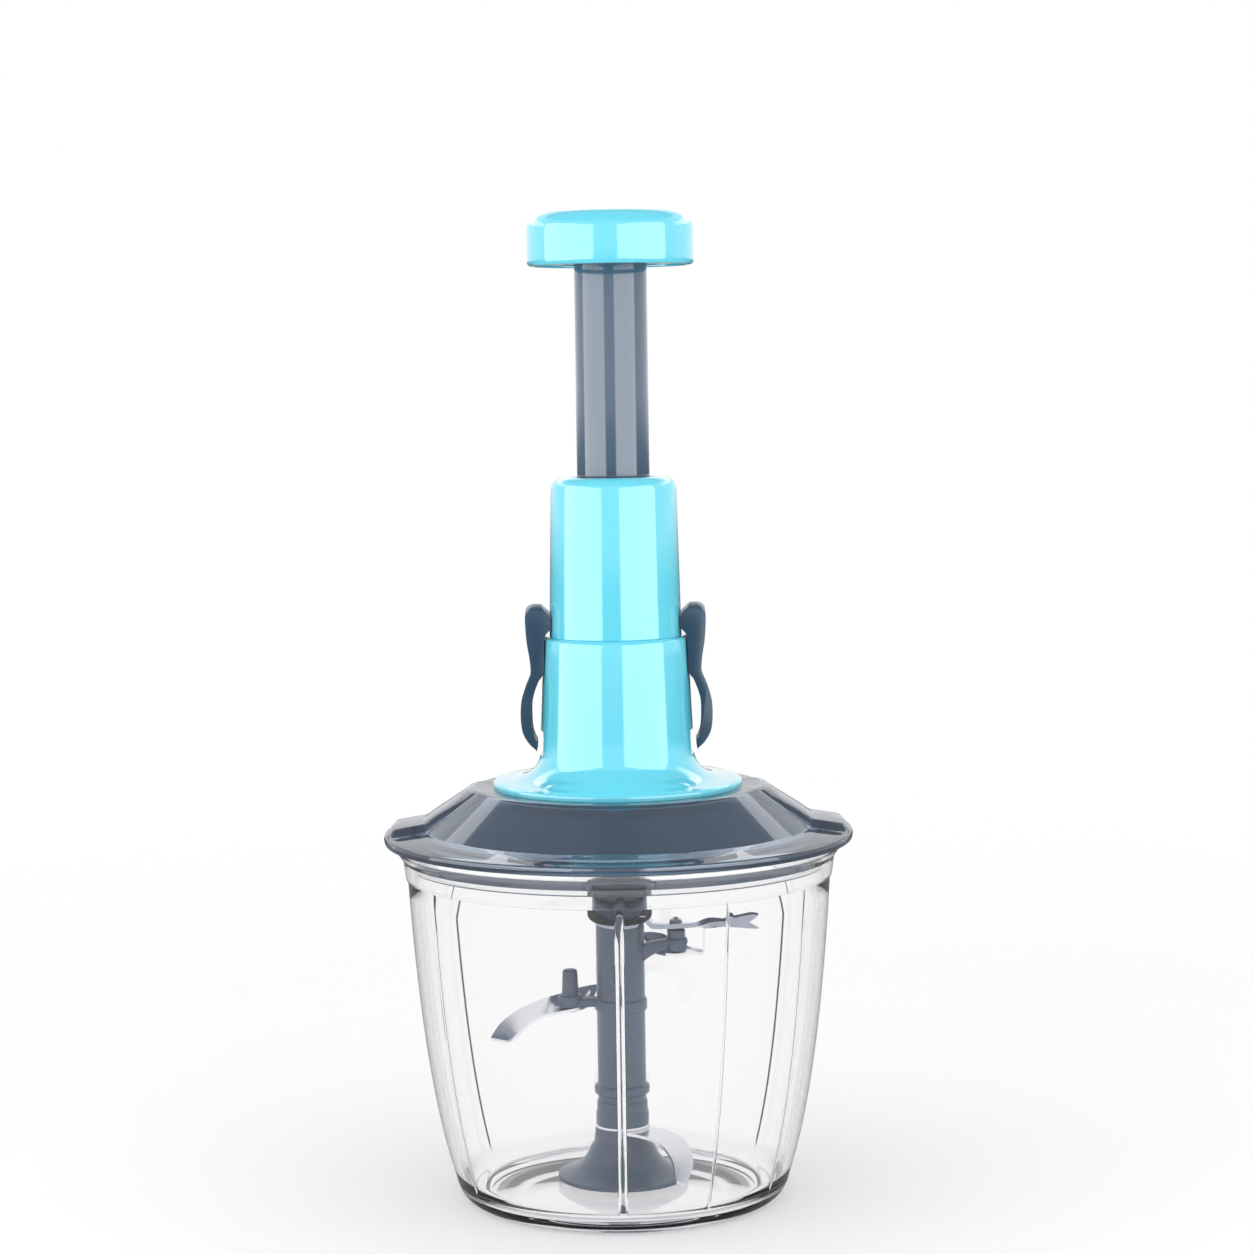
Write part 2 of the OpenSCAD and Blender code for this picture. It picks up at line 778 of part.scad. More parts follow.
module clip_pins() {
    color(steel)
        both_sides()
            translate([pivot_x, 0, pivot_z])
                rotate([90, 0, 0])
                    cylinder(r = clip_pin_r, h = 2 * (ear_y + ear_t), center = true, $fn = 48);
}

module clip_springs() {
    near_y = tongue_w / 2 + 0.5;
    color(steel)
        both_sides()
            translate([pivot_x, 0, pivot_z])
                rotate([90, 0, 0])
                    ring(clip_spring_r, clip_pin_r + clip_spring_play, near_y, near_y + clip_spring_l);
}

// ---- clips ----

// points [x, z, half thickness] of a smooth curve through a list of them
function through(p, steps) = [
    for (i = [0:len(p) - 2])
        let (a = p[max(i - 1, 0)], b = p[i], c = p[i + 1], d = p[min(i + 2, len(p) - 1)])
            for (k = [0:steps - 1])
                let (t = k / steps)
                    b + t * (c - a) / 2 + t * t * (2 * a - 5 * b + 4 * c - d) / 2
                      + t * t * t * (3 * b - a - 3 * c + d) / 2,
    p[len(p) - 1]
];

// a band along such a curve, with round ends
module band(line) {
    last = len(line) - 1;
    function at(i) = [line[i][0], line[i][1]];
    function along(i) = unit(at(min(i + 1, last)) - at(max(i - 1, 0)));
    function side(s) = [
        for (i = [0:last]) at(i) + s * line[i][2] * [-along(i)[1], along(i)[0]]
    ];
    function heading(i) = atan2(along(i)[1], along(i)[0]);
    polygon(concat(
        side(-1),
        arc(at(last)[0], at(last)[1], line[last][2], heading(last) - 75, heading(last) + 75, 5),
        reversed(side(1)),
        arc(at(0)[0], at(0)[1], line[0][2], heading(0) + 105, heading(0) + 255, 9)
    ));
}

module clip_outline() {
    bow_x = clip_mid_x + 3.5;
    tip_x = bell_r(clip_tip_z) + body_gap + 1.7;
    band(through([
        [clip_mid_x - 0.6, clip_top_z, clip_pad_r],
        [clip_mid_x - 0.1, pivot_z + 10, clip_half_t + 0.3],
        [clip_mid_x, pivot_z + 4, clip_half_t],
        [clip_mid_x, pivot_z - 2.2, clip_half_t],
        [clip_mid_x + 1.6, pivot_z - 6.4, clip_half_t],
        [bow_x - 0.4, pivot_z - 10.6, clip_half_t],
        [bow_x, pivot_z - 16, clip_half_t],
        [bow_x - 1.1, pivot_z - 20.6, clip_half_t],
        [tip_x, clip_tip_z, 1.5]
    ], 5));
    // nose
    polygon([
        [nose_x, nose_z], [clip_mid_x - 1.1, nose_z - 0.5],
        [clip_mid_x - 0.7, nose_z + nose_h + 0.3], [nose_x, nose_z + nose_h]
    ]);
}

module tongue_outline() {
    r = tongue_h / 2;
    polygon(concat(
        [[clip_mid_x, -r], [clip_mid_x, r]],
        arc(pivot_x, 0, r, 90, 270, 10)
    ));
}

module clip_body() {
    difference() {
        union() {
            rotate([90, 0, 0])
                linear_extrude(clip_w, center = true)
                    clip_outline();
            translate([0, 0, pivot_z])
                rotate([90, 0, 0])
                    linear_extrude(tongue_w, center = true)
                        tongue_outline();
        }
        translate([pivot_x, 0, pivot_z])
            rotate([90, 0, 0])
                cylinder(r = clip_pin_r + run_gap, h = tongue_w + 2, center = true, $fn = 48);
    }
}

module right_clip() {
    color(slate)
        clip_body();
}

module left_clip() {
    color(slate)
        rotate([0, 0, 180])
            clip_body();
}

// ---- plunger ----

module press_knob() {
    crown = 0.6;
    foot_edge = 1.5;
    in_r = knob_r - knob_wall;
    socket_r = tube_r + seat_gap;
    socket_out_r = socket_r + 2.3;
    base_seat_z = knob_z + knob_base_z + knob_base_t + 0.1;
    color(cyan)
        difference() {
            rotate_extrude($fn = 128)
                polygon(concat(
                    [[in_r, knob_z], [knob_r - foot_edge, knob_z]],
                    arc(knob_r - foot_edge, knob_z + foot_edge, foot_edge, -90, 0, 4),
                    arc(knob_r - knob_edge_r, knob_top_z - crown - knob_edge_r, knob_edge_r, 0, 84, 8),
                    [[knob_r * 0.4, knob_top_z], [0, knob_top_z], [0, tube_top_z]],
                    [[socket_r, tube_top_z], [socket_r, base_seat_z], [socket_out_r, base_seat_z]],
                    [[socket_out_r, knob_top_z - 4], [in_r - 3, knob_top_z - 4]],
                    [[in_r, knob_top_z - 7]]
                ));
            translate([0, 0, tube_top_z - 1])
                cylinder(r = screw_r + seat_gap, h = 4);
        }
}

module knob_base() {
    color(cyan)
        ring(knob_r - knob_wall - seat_gap, tube_r + 0.1,
             knob_z + knob_base_z, knob_z + knob_base_z + knob_base_t);
}

module knob_screw() {
    color(steel)
        screw_up(web_z, web_t + 2.8);
}

module plunger_tube() {
    color(grey)
        difference() {
            translate([0, 0, nut_flange_top_z])
                cylinder(r = tube_r, h = tube_top_z - nut_flange_top_z);
            translate([0, 0, nut_flange_top_z - 1])
                cylinder(r = tube_bore_r, h = web_z - nut_flange_top_z + 1);
            translate([0, 0, web_z - 1])
                cylinder(r = screw_r + seat_gap, h = web_t + 2);
            both_sides()
                translate([0, 0, nut_flange_top_z + nut_screw_rise])
                    rotate([0, 90, 0])
                        cylinder(r = nut_screw_head_r + seat_gap, h = tube_r + 2, $fn = 48);
        }
}

module bar_section(gap) {
    square([bar_w + 2 * gap, bar_t + 2 * gap], center = true);
}

// a twisted length of the bar, grown by a gap
module bar_length(h, gap) {
    linear_extrude(h, twist = bar_twist * h, slices = round(h), segments = bar_segments)
        bar_section(gap);
}

module drive_nut() {
    nut_h = nut_top_z - nut_z;
    color(dark)
        difference() {
            union() {
                translate([0, 0, nut_z])
                    cylinder(r = nut_flange_r, h = nut_flange_t);
                translate([0, 0, nut_flange_top_z - eps])
                    cylinder(r = tube_bore_r - seat_gap, h = nut_spigot_h + eps);
            }
            translate([0, 0, nut_z - 1])
                rotate([0, 0, -bar_twist * (nut_z - 1 - hub_top_face_z)])
                    bar_length(nut_h + 2, slot_gap);
            both_sides()
                translate([tube_bore_r - 3, 0, nut_flange_top_z + nut_screw_rise])
                    rotate([0, 90, 0])
                        cylinder(r = nut_screw_r + seat_gap, h = 6, $fn = 48);
        }
}

module nut_screws() {
    shank_h = 2.6;
    color(steel)
        both_sides()
            translate([tube_bore_r - shank_h, 0, nut_flange_top_z + nut_screw_rise])
                rotate([0, 90, 0]) {
                    cylinder(r = nut_screw_r, h = shank_h + 0.6, $fn = 48);
                    translate([0, 0, shank_h + seat_gap])
                        cylinder(r = nut_screw_head_r, h = tube_t - 0.2, $fn = 48);
                }
}

// ---- return spring: one helix of round wire, closed at its two ends ----

spring_z0 = seat_top_z + spring_wire / 2 + 0.05;
spring_z1 = web_z - spring_wire / 2 - 0.05;
ring_steps = 8;
wire_sides = 6;
spring_rings = spring_turns * ring_steps;
// the end turns climb at half the pitch of the others
function spring_climb(u) =
    u < 1 ? u / 2
    : u > spring_turns - 1 ? spring_turns - 1.5 + (u - spring_turns + 1) / 2
    : u - 0.5;
spring_pitch = (spring_z1 - spring_z0) / (spring_turns - 1);
function spring_point(i) =
    let (u = i / ring_steps, a = 360 * u)
    [spring_r * cos(a), spring_r * sin(a), spring_z0 + spring_pitch * spring_climb(u)];
spring_least_gap = spring_pitch / 2 - spring_wire;
echo(spring_least_gap = spring_least_gap);

module return_spring() {
    points = [
        for (i = [0:spring_rings])
            let (c = spring_point(i), a = 360 * i / ring_steps)
                for (k = [0:wire_sides - 1])
                    let (b = 360 * k / wire_sides, q = spring_wire / 2)
                        c + [q * cos(b) * cos(a), q * cos(b) * sin(a), q * sin(b)]
    ];
    sides = [
        for (i = [0:spring_rings - 1])
            for (k = [0:wire_sides - 1])
                let (a = i * wire_sides + k, b = i * wire_sides + (k + 1) % wire_sides)
                    for (f = [[a, b, b + wire_sides], [a, b + wire_sides, a + wire_sides]]) f
    ];
    last = spring_rings * wire_sides;
    caps = [
        for (k = [1:wire_sides - 2])
            for (f = [[0, k + 1, k], [last, last + k, last + k + 1]]) f
    ];
    color(steel)
        polyhedron(points = points, faces = concat(sides, caps));
}

// ---- spindle ----

module twisted_bar() {
    run = bar_top_z - hub_top_face_z;
    color(steel) {
        translate([0, 0, hub_top_face_z])
            bar_length(run, 0);
        translate([0, 0, tang_z])
            linear_extrude(hub_top_face_z - tang_z)
                bar_section(0);
    }
}

module spring_seat() {
    color(grey)
        difference() {
            union() {
                translate([0, 0, seat_z])
                    cylinder(r = bar_corner_r + 1.2, h = seat_top_z - seat_z);
                translate([0, 0, bar_top_z])
                    cylinder(r = spring_r + 0.7, h = seat_top_z - bar_top_z);
                translate([0, 0, seat_top_z - eps])
                    cylinder(r = spring_r - spring_wire - 0.4, h = 3);
            }
            translate([0, 0, seat_z - 1])
                cylinder(r = bar_corner_r + seat_gap, h = bar_top_z - seat_z + 1);
        }
}

module spindle_hub() {
    color(dark)
        difference() {
            union() {
                translate([0, 0, hub_flange_z])
                    cylinder(r = hub_flange_r, h = hub_top_face_z - hub_flange_z);
                translate([0, 0, shaft_z])
                    cylinder(r = shaft_r, h = hub_flange_z - shaft_z + eps);
            }
            translate([0, 0, tang_z])
                linear_extrude(40)
                    bar_section(seat_gap);
            translate([0, 0, shaft_z - 1])
                cylinder(r = screw_r + seat_gap, h = 9.5);
        }
}

module drive_coupling() {
    color(dark)
        difference() {
            translate([0, 0, coupling_z])
                cylinder(r = coupling_r, h = coupling_h);
            translate([0, 0, shaft_z])
                cylinder(r = shaft_r + seat_gap, h = 10);
            translate([0, 0, coupling_z - 1])
                cylinder(r = screw_r + seat_gap, h = 20);
            translate([0, 0, coupling_z - 1])
                cylinder(r = hex_r + 0.15, h = hex_socket_top_z - coupling_z + 1, $fn = 6);
        }
}

module coupling_screw() {
    color(steel)
        screw_up(hex_socket_top_z, coupling_web_t + 8);
}

// ---- blade column ----

module lower_hub() {
    color(grey)
        rotate_extrude($fn = 128)
            polygon(concat(
                [[pin_bore_r, boss_top_z + 0.4], [boss_r + 0.6, boss_top_z + 0.4]],
                [[boss_r + 2.2, hub_bottom_z + 2], [hub_skirt_r - 1.6, hub_bottom_z]],
                [[hub_skirt_r, hub_bottom_z], [hub_skirt_r, hub_bottom_z + 0.8]],
                curve([hub_skirt_r - 0.3, hub_bottom_z + 1.2], [column_r + 4, hub_bottom_z + 3.4],
                      [column_r + 2.6, hub_bottom_z + 8.4], 8),
                [[column_r + 1.2, hub_bottom_z + 9.4], [column_r + 0.8, hub_top_z]],
                [[hub_spigot_r, hub_top_z], [hub_spigot_r, hub_top_z + blade_t + hub_spigot_h]],
                [[pin_bore_r, hub_top_z + blade_t + hub_spigot_h]]
            ));
}

module arm_right_profile() {
    x0 = column_r - 1.2;
    x1 = right_boss_x - 2.4;
    top = right_arm_z + right_boss_h - 0.4;
    polygon(concat(
        curve([x0, right_arm_z - 4], [x0 + 3.6, right_arm_z + 0.2], [x1, right_arm_z + 0.4], 8),
        curve([x1, top], [x0 + 3, top], [x0, top - 1.9], 6)
    ));
}

module blade_column() {
    peg_top = top_blade_z - 0.1;
    color(grey)
        difference() {
            union() {
                translate([0, 0, column_z])
                    cylinder(r = column_r, h = column_top_z - column_z);
                // rings
                translate([0, 0, left_arm_z - 0.4])
                    cylinder(r = ring_r, h = left_arm_t + 0.6);
                translate([0, 0, low_ring_z])
                    rotate_extrude()
                        polygon([
                            [column_r - 1, -0.8], [column_r + 0.3, -0.8], [low_ring_r, 0.1],
                            [low_ring_r, 1.4], [column_r + 0.3, 2], [column_r - 1, 2]
                        ]);
                translate([0, 0, low_ring_z - band_drop])
                    cylinder(r = column_r + band_step, h = band_h);
                // right arm, with the boss and peg that hold two blades
                rotate([0, 0, top_angle]) {
                    rotate([90, 0, 0])
                        linear_extrude(arm_w, center = true)
                            arm_right_profile();
                    translate([right_boss_x, 0, right_arm_z])
                        cylinder(r = right_boss_r, h = right_boss_h);
                    translate([right_boss_x, 0, right_arm_z])
                        cylinder(r = right_peg_r, h = peg_top - right_arm_z);
                }
                // left arm, with its boss and free peg
                rotate([0, 0, left_angle]) {
                    block(column_r - 1, left_boss_x, -arm_w / 2, arm_w / 2,
                          left_arm_z, left_arm_z + left_arm_t);
                    translate([left_boss_x, 0, left_arm_z])
                        cylinder(r = left_boss_r, h = left_boss_h);
                    translate([left_boss_x, 0, left_arm_z + left_boss_h - eps])
                        cylinder(r1 = 2.4, r2 = 2.2, h = peg_h - 0.6 + eps);
                    translate([left_boss_x, 0, left_arm_z + left_boss_h + peg_h - 0.6 - eps])
                        cylinder(r1 = 2.2, r2 = 1.6, h = 0.6 + eps);
                }
            }
            // bore for the centre pin, the hub's spigot and the cap's spigot
            translate([0, 0, column_z - 1])
                cylinder(r = pin_bore_r, h = pin_top_z + body_gap - column_z + 1);
            translate([0, 0, column_z - 1])
                cylinder(r = hub_spigot_r + seat_gap, h = hub_spigot_h + 1);
            translate([0, 0, column_top_z - cap_spigot_h])
                cylinder(r = cap_spigot_r + seat_gap, h = cap_spigot_h + 1);
            // holes for the rivets
            rotate([0, 0, top_angle])
                translate([right_boss_x, 0, right_arm_z - 1])
                    cylinder(r = rivet_r + seat_gap, h = rivet_grip + 1, $fn = 48);
            rotate([0, 0, top_angle])
                translate([right_boss_x, 0, peg_top - rivet_grip])
                    cylinder(r = rivet_r + seat_gap, h = rivet_grip + 1, $fn = 48);
            rotate([0, 0, left_angle])
                translate([left_boss_x, 0, left_arm_z - 1])
                    cylinder(r = rivet_r + seat_gap, h = rivet_grip + 1, $fn = 48);
        }
}

module column_cap() {
    color(grey) {
        translate([0, 0, column_top_z - cap_spigot_h])
            cylinder(r = cap_spigot_r, h = cap_spigot_h + cap_bottom_z - column_top_z + eps);
        translate([0, 0, cap_bottom_z])
            cylinder(r = column_r, h = cap_top_z - cap_bottom_z - 1);
        translate([0, 0, cap_top_z - collar_h])
            cylinder(r = collar_r, h = collar_h);
        translate([0, 0, cap_top_z - eps])
            cylinder(r = hex_r, h = hex_h + eps, $fn = 6);
    }
}

module eye_washer() {
    color(dark)
        ring(eye_washer_r, cap_spigot_r + seat_gap, eye_washer_z, eye_washer_z + eye_washer_t);
}

// one rivet: its head is below z, or above z when the shank points down
module rivet(x, z, angle, up) {
    rotate([0, 0, angle])
        translate([x, 0, z])
            mirror([0, 0, up ? 0 : 1]) {
                translate([0, 0, -rivet_head_h])
                    cylinder(r1 = rivet_head_r - 0.4, r2 = rivet_head_r, h = rivet_head_h, $fn = 48);
                translate([0, 0, -eps])
                    cylinder(r = rivet_r, h = blade_t + rivet_grip - 0.2, $fn = 48);
            }
}

module blade_rivets() {
    color(steel) {
        rivet(right_boss_x, top_blade_z + blade_t, top_angle, false);
        rivet(right_boss_x, right_arm_z - blade_t, top_angle, true);
        rivet(left_boss_x, left_arm_z - blade_t, left_angle, true);
    }
}

// outline of a curved blade from a to c, bent towards b, with a pointed end
module sabre(a, b, c, w) {
    steps = 12;
    function half(t) = w / 2 * (1 - 0.9 * pow(t, 2.4)) * (0.75 + 0.25 * sin(180 * min(1, t + 0.25)));
    function side(s) = [
        for (i = [0:steps])
            let (t = i / steps, d = unit(bez_dir(a, b, c, t)))
                bez(a, b, c, t) + s * half(t) * [-d[1], d[0]]
    ];
    polygon(concat(side(1), reversed(side(-1))));
}

// sheet that is flat up to x_flat and then curves down, drawn along +X
module drooping_sheet(x_flat, z, bend_r, reach) {
    rotate([90, 0, 0])
        linear_extrude(80, center = true) {
            translate([-20, z])
                square([x_flat + 20 + eps, blade_t]);
            intersection() {
                translate([x_flat, z + blade_t - bend_r])
                    difference() {
                        circle(r = bend_r, $fn = 128);
                        circle(r = bend_r - blade_t, $fn = 128);
                    }
                translate([x_flat, z + blade_t - bend_r * 0.9])
                    square([reach - x_flat, bend_r * 0.9]);
            }
        }
}

module top_blade() {
    fork_l = 9.4;
    split_x = top_reach - fork_l;
    split_w = 3.4;
    prong_l = 9;
    prong_w = 4.4;
    notch_x = 6.4;
    function prong(s) = [[0, 0], [0, s * split_w], [prong_l, s * prong_w], [notch_x, 0]];
    fork_angle = 13;
    color(steel)
        rotate([0, 0, top_angle])
            difference() {
                union() {
                    translate([0, 0, top_blade_z])
                        linear_extrude(blade_t)
                            union() {
                                circle(r = column_r + 1.3);
                                polygon([
                                    [2, -5], [right_boss_x, -blade_w / 2], [split_x, -split_w],
                                    [split_x, split_w], [right_boss_x, blade_w / 2], [2, 5]
                                ]);
                            }
                    // the forked end: one prong bent up and one down
                    for (s = [-1, 1])
                        translate([split_x - 0.2, 0, top_blade_z + blade_t / 2])
                            rotate([0, -s * fork_angle, 0])
                                translate([0, 0, -blade_t / 2])
                                    linear_extrude(blade_t)
                                        polygon(prong(s));
                }
                translate([0, 0, top_blade_z - 1])
                    cylinder(r = cap_spigot_r + seat_gap, h = blade_t + 2);
                translate([right_boss_x, 0, top_blade_z - 1])
                    cylinder(r = rivet_r + seat_gap, h = blade_t + 2, $fn = 48);
            }
}

module right_blade() {
    z = right_arm_z - blade_t;
    tip_h = 7;
    color(steel)
        rotate([0, 0, top_angle])
            difference() {
                union() {
                    translate([0, 0, z])
                        linear_extrude(blade_t)
                            sabre([column_r + 0.4, 5], [right_boss_x, 3],
                                  [right_reach + blade_end_room, -5], blade_w);
                    translate([right_reach - blade_t, -4.4, z])
                        rotate([0, 0, -14])
                            rotate([90, 0, 90])
                                linear_extrude(blade_t)
                                    polygon([[0, 0], [5.4, 0], [5.4, 1.4], [2.4, tip_h], [0.8, tip_h]]);
                }
                translate([right_boss_x, 0, z - 1])
                    cylinder(r = rivet_r + seat_gap, h = blade_hole_h, $fn = 48);
                translate([right_reach, -20, z - 1])
                    rotate([0, 0, -14])
                        cube([20, 40, blade_t + 1.2]);
                translate([0, 0, z - 1])
                    cylinder(r = column_r + seat_gap, h = blade_hole_h);
                // notch where the arm dips past the blade
                block(0, right_boss_x - 3.4, -arm_w / 2 - seat_gap, arm_w / 2 + seat_gap,
                      z - 1, z + 3);
            }
}

module left_blade() {
    z = left_arm_z - blade_t;
    reach = left_reach;
    color(steel)
        rotate([0, 0, left_angle])
            difference() {
                intersection() {
                    drooping_sheet(left_boss_x + rivet_head_r, z, left_bend_r, reach + blade_end_room);
                    linear_extrude(z + 10)
                        sabre([column_r - 2, -9], [left_boss_x + 2, -4], [reach, 12], blade_w + 2);
                }
                translate([left_boss_x, 0, z - 1])
                    cylinder(r = rivet_r + seat_gap, h = blade_hole_h, $fn = 48);
                translate([0, 0, z - 1])
                    cylinder(r = ring_r + seat_gap, h = blade_hole_h);
            }
}

module bottom_blade() {
    z = hub_top_z;
    color(steel)
        rotate([0, 0, bottom_angle])
            difference() {
                union() {
                    intersection() {
                        drooping_sheet(column_r + 3, z, bottom_bend_r, bottom_reach + blade_end_room);
                        linear_extrude(z + 10)
                            sabre([0, 0], [16, 3], [bottom_reach, -9], blade_w + 2);
                    }
                    translate([0, 0, z])
                        cylinder(r = column_r + 0.8, h = blade_t);
                }
                translate([0, 0, z - 1])
                    cylinder(r = hub_spigot_r + seat_gap, h = blade_hole_h);
            }
}

bowl();
centre_pin();
lid();
lid_inner_cover();
lower_housing();
upper_housing();
drive_base();
thrust_washer();
guide_bush();
housing_screws();
clip_pins();
clip_springs();
left_clip();
right_clip();
press_knob();
knob_base();
knob_screw();
plunger_tube();
drive_nut();
nut_screws();
return_spring();
twisted_bar();
spring_seat();
spindle_hub();
drive_coupling();
coupling_screw();
lower_hub();
blade_column();
column_cap();
eye_washer();
blade_rivets();
top_blade();
right_blade();
left_blade();
bottom_blade();
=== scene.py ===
import math

import bmesh
import bpy
from mathutils import Matrix, Vector


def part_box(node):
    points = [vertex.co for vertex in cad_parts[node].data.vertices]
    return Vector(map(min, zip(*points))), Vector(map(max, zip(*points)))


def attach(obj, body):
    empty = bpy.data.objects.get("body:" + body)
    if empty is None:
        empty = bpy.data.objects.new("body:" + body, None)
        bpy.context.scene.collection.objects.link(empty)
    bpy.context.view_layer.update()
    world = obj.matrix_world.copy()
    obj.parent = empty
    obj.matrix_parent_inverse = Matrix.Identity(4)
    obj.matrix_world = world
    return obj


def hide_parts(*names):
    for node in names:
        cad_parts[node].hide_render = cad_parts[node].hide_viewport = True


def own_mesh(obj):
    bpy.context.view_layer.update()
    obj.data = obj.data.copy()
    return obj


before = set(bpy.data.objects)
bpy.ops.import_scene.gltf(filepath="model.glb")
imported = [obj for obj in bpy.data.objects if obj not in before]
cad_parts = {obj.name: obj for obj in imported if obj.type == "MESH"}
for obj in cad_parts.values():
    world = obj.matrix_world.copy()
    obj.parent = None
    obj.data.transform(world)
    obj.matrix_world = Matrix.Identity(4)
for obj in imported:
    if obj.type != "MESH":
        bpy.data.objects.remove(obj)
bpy.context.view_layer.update()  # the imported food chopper: metres, +Z up, the origin under the bowl's foot
mm = 0.001
print("frame loaded:", len(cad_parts), "nodes")


# small helpers

def low(node):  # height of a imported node's underside, in mm
    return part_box(node)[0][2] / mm


def high(node):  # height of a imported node's top, in mm
    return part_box(node)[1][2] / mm


def linear(hexColour):  # '#rrggbb' in sRGB to a linear RGBA colour
    channels = [int(hexColour[i:i + 2], 16) / 255 for i in (1, 3, 5)]
    return tuple(c / 12.92 if c <= 0.04045 else ((c + 0.055) / 1.055) ** 2.4 for c in channels) + (1,)


def smooth(start, end, value):  # 0 below start, 1 above end, eased between
    t = min(1, max(0, (value - start) / (end - start)))
    return t * t * (3 - 2 * t)


def bent(a, b, c, steps):  # points of a quadratic curve from a to c, pulled towards b
    a, b, c = Vector(a), Vector(b), Vector(c)
    return [(1 - t) ** 2 * a + 2 * t * (1 - t) * b + t * t * c for t in (k / steps for k in range(steps + 1))]


def throughPoints(points, steps):  # points of a smooth curve that passes through each given one
    points = [Vector(p) for p in points]
    made = []
    for i in range(len(points) - 1):
        a, b = points[max(i - 1, 0)], points[i]
        c, d = points[i + 1], points[min(i + 2, len(points) - 1)]
        for t in (k / steps for k in range(steps)):
            made.append(b + t * (c - a) / 2 + t * t * (2 * a - 5 * b + 4 * c - d) / 2
                        + t ** 3 * (3 * b - a - 3 * c + d) / 2)
    return made + [points[-1]]


def rounded(corners, steps=5):  # a closed outline: (x, y, radius) corners become arcs, (x, y) stay sharp
    points = []
    for i, corner in enumerate(corners):
        here = Vector(corner[:2])
        radius = corner[2] if len(corner) > 2 else 0
        if radius == 0:
            points.append(here)
            continue
        toBefore = (Vector(corners[i - 1][:2]) - here).normalized()
        toAfter = (Vector(corners[(i + 1) % len(corners)][:2]) - here).normalized()
        half = toBefore.angle(toAfter) / 2
        centre = here + (toBefore + toAfter).normalized() * radius / math.sin(half)
        first = here + toBefore * radius / math.tan(half) - centre
        last = here + toAfter * radius / math.tan(half) - centre
        points += [centre + radius * first.slerp(last, k / steps) for k in range(steps + 1)]
    return points


# mesh helpers

def lathe(bm, outline, segments):  # a closed outline of (radius, height) in mm, turned about the z axis
    verts = [bm.verts.new((p[0] * mm, 0, p[1] * mm)) for p in outline]
    edges = [bm.edges.new(pair) for pair in zip(verts, verts[1:] + verts[:1])
             if pair[0].co.x > 0 or pair[1].co.x > 0]
    bmesh.ops.spin(bm, geom=verts + edges, cent=(0, 0, 0), axis=(0, 0, 1), angle=2 * math.pi,
                   steps=segments, use_merge=True)
    bmesh.ops.remove_doubles(bm, verts=bm.verts, dist=0.001 * mm)
    return bm


def only(geometry, kind):
    return [g for g in geometry if isinstance(g, kind)]


def shift(bm, verts, x, y, z):  # moves part of a mesh, in mm
    bmesh.ops.translate(bm, verts=verts, vec=Vector((x, y, z)) * mm)


def turned(bm, verts, angle, centre=(0, 0, 0), axis="Z"):  # turns part of a mesh about a line along an axis
    bmesh.ops.rotate(bm, verts=verts, cent=Vector(centre) * mm, matrix=Matrix.Rotation(angle, 3, axis))


def addCone(bm, segments, lowR, topR, height, x, z):  # a tapered pillar round (x, 0, z), and its vertices
    made = bmesh.ops.create_cone(bm, cap_ends=True, segments=segments, radius1=lowR * mm, radius2=topR * mm,
                                 depth=height * mm)["verts"]
    shift(bm, made, x, 0, z)
    return made


def addWasher(bm, boreR, outR, foot, top, soft, steps, segments):  # a flat ring with softened outer edges
    corners = [(boreR, foot, 0), (outR, foot, soft), (outR, top, soft), (boreR, top, 0)]
    lathe(bm, rounded(corners, steps), segments)


def joinMesh(bm, part):  # adds another mesh to this one, and gives the new vertices
    mesh = bpy.data.meshes.new("part")
    part.to_mesh(mesh)
    part.free()
    before = set(bm.verts)
    bm.from_mesh(mesh)
    bpy.data.meshes.remove(mesh)
    return [v for v in bm.verts if v not in before]


def lathed(corners, steps, segments):  # a new mesh from rounded corners, turned about the z axis
    return lathe(bmesh.new(), rounded(corners, steps), segments)


def slab(bm, outline, start, thick):  # an outline of (x, z) in mm, extruded along y, and its new faces
    before = set(bm.faces)
    face = bm.faces.new([bm.verts.new((p[0] * mm, start * mm, p[1] * mm)) for p in outline])
    grown = bmesh.ops.extrude_face_region(bm, geom=[face])["geom"]
    shift(bm, only(grown, bmesh.types.BMVert), 0, thick, 0)
    return [f for f in bm.faces if f not in before]


def softenEdges(bm, faces, width, segments, least):  # rounds the edges between faces that meet sharply
    edges = {e for f in faces for e in f.edges
             if len(e.link_faces) == 2 and e.calc_face_angle(0) > math.radians(least)}
    bmesh.ops.bevel(bm, geom=list(edges), offset=width * mm, offset_type="OFFSET", segments=segments,
                    profile=0.5, affect="EDGES", clamp_overlap=True, material=-1)


def cutAlong(bm, point, normal, within):  # an edge loop where a plane meets the faces that within() picks
    faces = [f for f in bm.faces if within(f.calc_center_median() / mm)]
    edges = {e for f in faces for e in f.edges}
    verts = {v for f in faces for v in f.verts}
    bmesh.ops.bisect_plane(bm, geom=faces + list(edges) + list(verts), dist=0.0001 * mm,
                           plane_co=Vector(point) * mm, plane_no=normal)


def addPiece(bm, name, body, node, material, sharp=32):  # makes the mesh a piece that rides on a body
    bmesh.ops.remove_doubles(bm, verts=bm.verts, dist=0.0005 * mm)
    bmesh.ops.recalc_face_normals(bm, faces=bm.faces)
    mesh = bpy.data.meshes.new(name)
    bm.to_mesh(mesh)
    bm.free()
    mesh.materials.append(material)
    mesh.shade_smooth()
    mesh.set_sharp_from_angle(angle=math.radians(sharp))
    piece = bpy.data.objects.new(name, mesh)
    bpy.context.scene.collection.objects.link(piece)
    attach(piece, body)
    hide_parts(node)
    print("piece", name, len(mesh.polygons), "faces")
    return piece


# shader helpers

